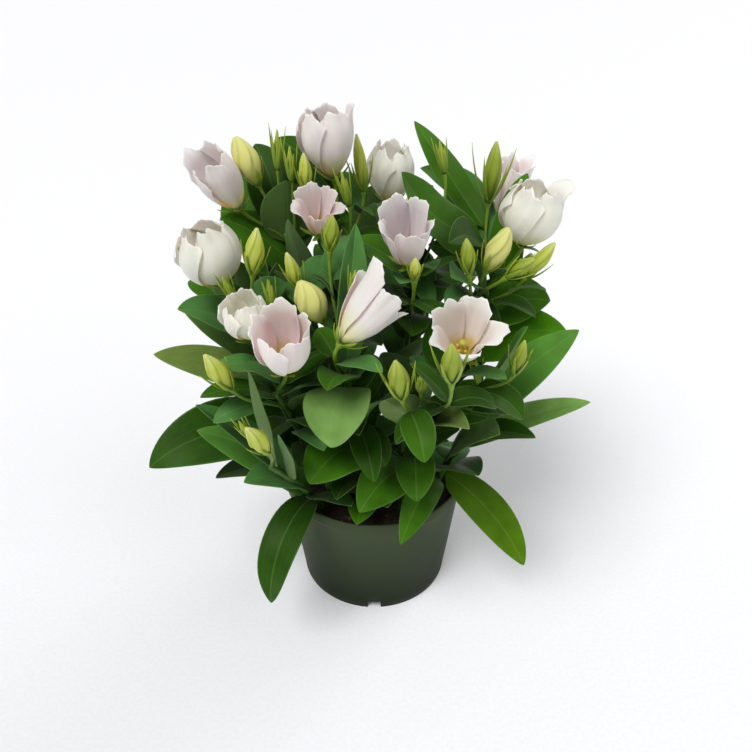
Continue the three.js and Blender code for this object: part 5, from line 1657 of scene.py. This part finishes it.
@dataclass(frozen=True)
class BudSkin(Finish):
    """A bud's folded petals: satin, green at the base and paler up, with shaded grooves between pleats."""

    base: str
    body: str
    tip: str
    groove: str

    def wire(self, add: Callable[..., Socket], place: Socket) -> dict:
        """Colour by height and by the pleat's own rise.

        Args:
            add: adds a node to the material's tree.
            place: the object's own coordinates.
        Returns:
            What each socket of the shader gets.
        """
        along, pleat = (add("Attribute", output="Fac", attribute_name=name) for name in ("along", "pleat"))
        cloud = add("TexNoise", {"Vector": place, "Scale": 160.0, "Detail": 3.0})
        shift = add("Math", {0: cloud, 1: 0.3, 2: -0.15}, operation="MULTIPLY_ADD")
        height = add("Math", {0: along, 1: shift}, operation="ADD")
        body = add("ValToRGB", {0: height}, stops=[
            (0.05, self.base), (0.35, self.body), (0.7, self.body), (1, self.tip)])
        shade = add("ValToRGB", {0: pleat}, stops=[(0.0, 0.55), (0.2, 0.1), (0.6, 0.0)])
        return {
            "Base Color": add("Mix", {0: shade, 6: body, 7: linear(self.groove)}, output=2, data_type="RGBA"),
            "Roughness": 0.5, "IOR": 1.38,
            "Normal": add("Bump", {"Height": cloud, "Strength": 0.2, "Distance": 0.0003}),
            "Subsurface Weight": 0.25, "Subsurface Radius": (0.9, 1.0, 0.4), "Subsurface Scale": 0.003}


@dataclass(frozen=True)
class PistilFlesh(Finish):
    """Fleshy green pistil and powdery yellow anthers."""

    green: str = "#9cae3e"
    gold: str = "#cfa544"

    def wire(self, add: Callable[..., Socket], place: Socket) -> dict:
        """Green to gold by the piece's own value, grained by noise 1 mm wide.

        Args:
            add: adds a node to the material's tree.
            place: the object's own coordinates.
        Returns:
            What each socket of the shader gets.
        """
        gold = add("Attribute", output="Fac", attribute_name="gold")
        noise = add("TexNoise", {"Vector": place, "Scale": 1200.0})
        tone = add("Math", {0: noise, 1: 0.3, 2: gold}, operation="MULTIPLY_ADD")
        return {
            "Base Color": add("ValToRGB", {0: tone}, stops=[(0.3, self.green), (1.0, self.gold)]),
            "Roughness": 0.6,
            "Normal": add("Bump", {"Height": noise, "Strength": 0.4, "Distance": 0.0003})}


@dataclass(frozen=True)
class MouldedPlastic(Finish):
    """Injection-moulded polypropylene, dark grey-green.

    The eye gets a satin wall with a very fine mould grain, with painted light that makes it lighter towards
    the rim and painted shade that makes it darker towards the foot.
    """

    # low is the painted shade at the foot, high the painted light at the rim
    low: str = "#182411"
    high: str = "#3d4931"

    def wire(self, add: Callable[..., Socket], place: Socket) -> dict:
        """Painted light and shade by height, with faint clouds 25 mm wide; grain 0.4 mm wide in the bump.

        Args:
            add: adds a node to the material's tree.
            place: the object's own coordinates.
        Returns:
            What each socket of the shader gets.
        """
        level = add("Attribute", output="Fac", attribute_name="level")
        cloud = add("TexNoise", {"Vector": place, "Scale": 35.0, "Detail": 4.0})
        grain = add("TexNoise", {"Vector": place, "Scale": 2200.0, "Detail": 1.0})
        # The height share paints light towards the rim and shade towards the foot
        tone = add("Math", {0: cloud, 1: 0.25, 2: level}, operation="MULTIPLY_ADD")
        return {
            "Base Color": add("ValToRGB", {0: tone}, stops=[(0.25, self.low), (1.08, self.high)]),
            "Roughness": add("MapRange", {0: cloud, 1: 0.3, 2: 0.7, 3: 0.46, 4: 0.6}),
            "Normal": add("Bump", {"Height": grain, "Strength": 0.12, "Distance": 0.0003}),
            "IOR": 1.49, "Specular IOR Level": 0.12}


@dataclass(frozen=True)
class PeatCrumb(Finish):
    """Damp peat: dark brown and rough, with reddish and straw-coloured bits."""

    dark: str = "#1a120c"
    mid: str = "#3a271a"
    bits: str = "#6b4b30"

    def wire(self, add: Callable[..., Socket], place: Socket) -> dict:
        """Clods 4 mm wide and grains 1 mm wide in colour and bump; loose bits by the piece's own value.

        Args:
            add: adds a node to the material's tree.
            place: the object's own coordinates.
        Returns:
            What each socket of the shader gets.
        """
        bit = add("Attribute", output="Fac", attribute_name="bit")
        clod = add("TexNoise", {"Vector": place, "Scale": 260.0, "Detail": 6.0})
        grain = add("TexVoronoi", {"Vector": place, "Scale": 900.0})
        soil = add("ValToRGB", {0: clod}, stops=[(0.38, self.dark), (0.62, self.mid)])
        share = add("Math", {0: bit, 1: 3.0}, operation="POWER")
        relief = add("Math", {0: grain, 1: 0.5, 2: clod}, operation="MULTIPLY_ADD")
        return {
            "Base Color": add("Mix", {0: share, 6: soil, 7: linear(self.bits)}, output=2, data_type="RGBA"),
            "Roughness": 0.9,
            "Normal": add("Bump", {"Height": relief, "Strength": 0.8, "Distance": 0.0012})}


@dataclass(frozen=True)
class PaleFloor(Finish):
    """A seamless white paper floor with a barely seen tooth."""

    low: str = "#eceef6"
    high: str = "#f1f3fa"

    def wire(self, add: Callable[..., Socket], place: Socket) -> dict:
        """Near white, with a slight change by noise.

        Args:
            add: adds a node to the material's tree.
            place: the object's own coordinates.
        Returns:
            What each socket of the shader gets.
        """
        noise = add("TexNoise", {"Vector": place, "Scale": 400.0})
        return {
            "Base Color": add("ValToRGB", {0: noise}, stops=[(0.3, self.low), (0.7, self.high)]),
            "Roughness": 0.9}


BLADE = LeafBlade("lisianthus_leaf")
STALK = GreenStalk("green_stalk_and_sepal")
PETALS = {
    Hue.LILAC: PetalSilk("petal_lilac_grey", "#f3e8e4", "#e8d6db", "#f4ecea", "#d4d38c"),
    Hue.CREAM: PetalSilk("petal_cream_white", "#f9f7e8", "#f9f6e8", "#faf8ee", "#ccd272"),
    Hue.MAUVE: PetalSilk("petal_dusty_mauve", "#ecd6d3", "#e5c9cc", "#f0dedc", "#c8b884"),
    Hue.LAVENDER: PetalSilk("petal_lavender", "#ece0df", "#ddcdd8", "#f1e8e8", "#d3c394"),
    Hue.BLUSH: PetalSilk("petal_blush_white", "#f9f0ec", "#eccdd1", "#faf4f1", "#dcda9c"),
    Hue.IVORY: PetalSilk("petal_ivory_blush", "#f4ece3", "#e9d6cd", "#f6f0ea", "#d0cc84"),
}
GREEN_BUD = BudSkin("bud_yellow_green", "#7c9628", "#b2bd4c", "#c6cd7c", "#7f9430")
YOUNG_BUD = BudSkin("bud_leaf_green", "#4c6a14", "#8a9c30", "#a9b552", "#5c7620")
PALE_BUD = BudSkin("bud_cream_yellow", "#a4ae46", "#d2d280", "#d4d488", "#adb25c")
PISTIL = PistilFlesh("pistil_and_anthers")
POT_PLASTIC = MouldedPlastic("moulded_pot_plastic")
PEAT = PeatCrumb("damp_peat")
FLOOR = PaleFloor("white_paper_floor")


@dataclass(frozen=True)
class Studio:
    """The pale floor, soft lights and the camera at the photograph's angle."""

    eye: tuple[float, float, float] = (0.0015, -0.436, 0.445)
    pitch: float = 31.4
    lens: float = 33.51
    sensor: float = 36.0
    floor_reach: float = 12.0
    sky: tuple[float, float, float, float] = (1.0, 0.98, 0.93, 1.0)
    sky_strength: float = 0.35
    lamp_colour: tuple[float, float, float] = (1.0, 0.985, 0.95)

    def build(self) -> None:
        """Makes floor, world, lights and camera."""
        reach = self.floor_reach
        mesh = bpy.data.meshes.new("floor")
        corners = [(-reach, -reach, 0), (reach, -reach, 0), (reach, reach, 0), (-reach, reach, 0)]
        mesh.from_pydata(corners, [], [(0, 1, 2, 3)])
        mesh.materials.append(FLOOR.material())
        floor = put("floor", mesh)
        world = bpy.data.worlds.new("soft_room")
        bpy.context.scene.world = world
        world.use_nodes = True
        background = world.node_tree.nodes["Background"]
        background.inputs[0].default_value = self.sky
        background.inputs[1].default_value = self.sky_strength
        self.light("key", (-0.55, -0.75, 1.25), 30.0, 2.3)
        self.light("fill", (0.9, -0.5, 0.9), 50.0, 0.55)
        self.light("back", (0.9, 0.8, 0.75), 30.0, 0.7)
        data = bpy.data.cameras.new("camera")
        data.lens, data.sensor_width = self.lens, self.sensor
        data.clip_start, data.clip_end = 0.01, 100.0
        camera = put("camera", data)
        camera.location = self.eye
        camera.rotation_euler = (math.radians(90 - self.pitch), 0.0, 0.0)
        bpy.context.scene.camera = camera
        bpy.context.scene.view_settings.view_transform = "Standard"

    def light(self, name: str, towards: tuple[float, float, float], spread: float, strength: float) -> None:
        """A broad soft light from that direction.

        Args:
            name: of the lamp.
            towards: a point on the way to it.
            spread: how wide it looks, in degrees.
            strength: of its light.
        """
        data = bpy.data.lights.new(name, "SUN")
        data.angle, data.energy, data.color = math.radians(spread), strength, self.lamp_colour
        lamp = put(name, data)
        lamp.location = towards
        x, y, z = towards
        lamp.rotation_euler = (math.atan2(math.hypot(x, y), z), 0.0, math.atan2(x, -y))


def main() -> None:
    """Builds the pot, the peat, the plant and the studio."""
    logging.basicConfig(level=logging.INFO, format="%(message)s")
    Pot().build()
    Peat().build()
    plant = Plant()
    plant.lay_out()
    log.info("leaves: %d", sum(len(b.leaves) for b in plant.branches.values()))
    plant.build()
    Studio().build()


if __name__ == "__main__":
    main()
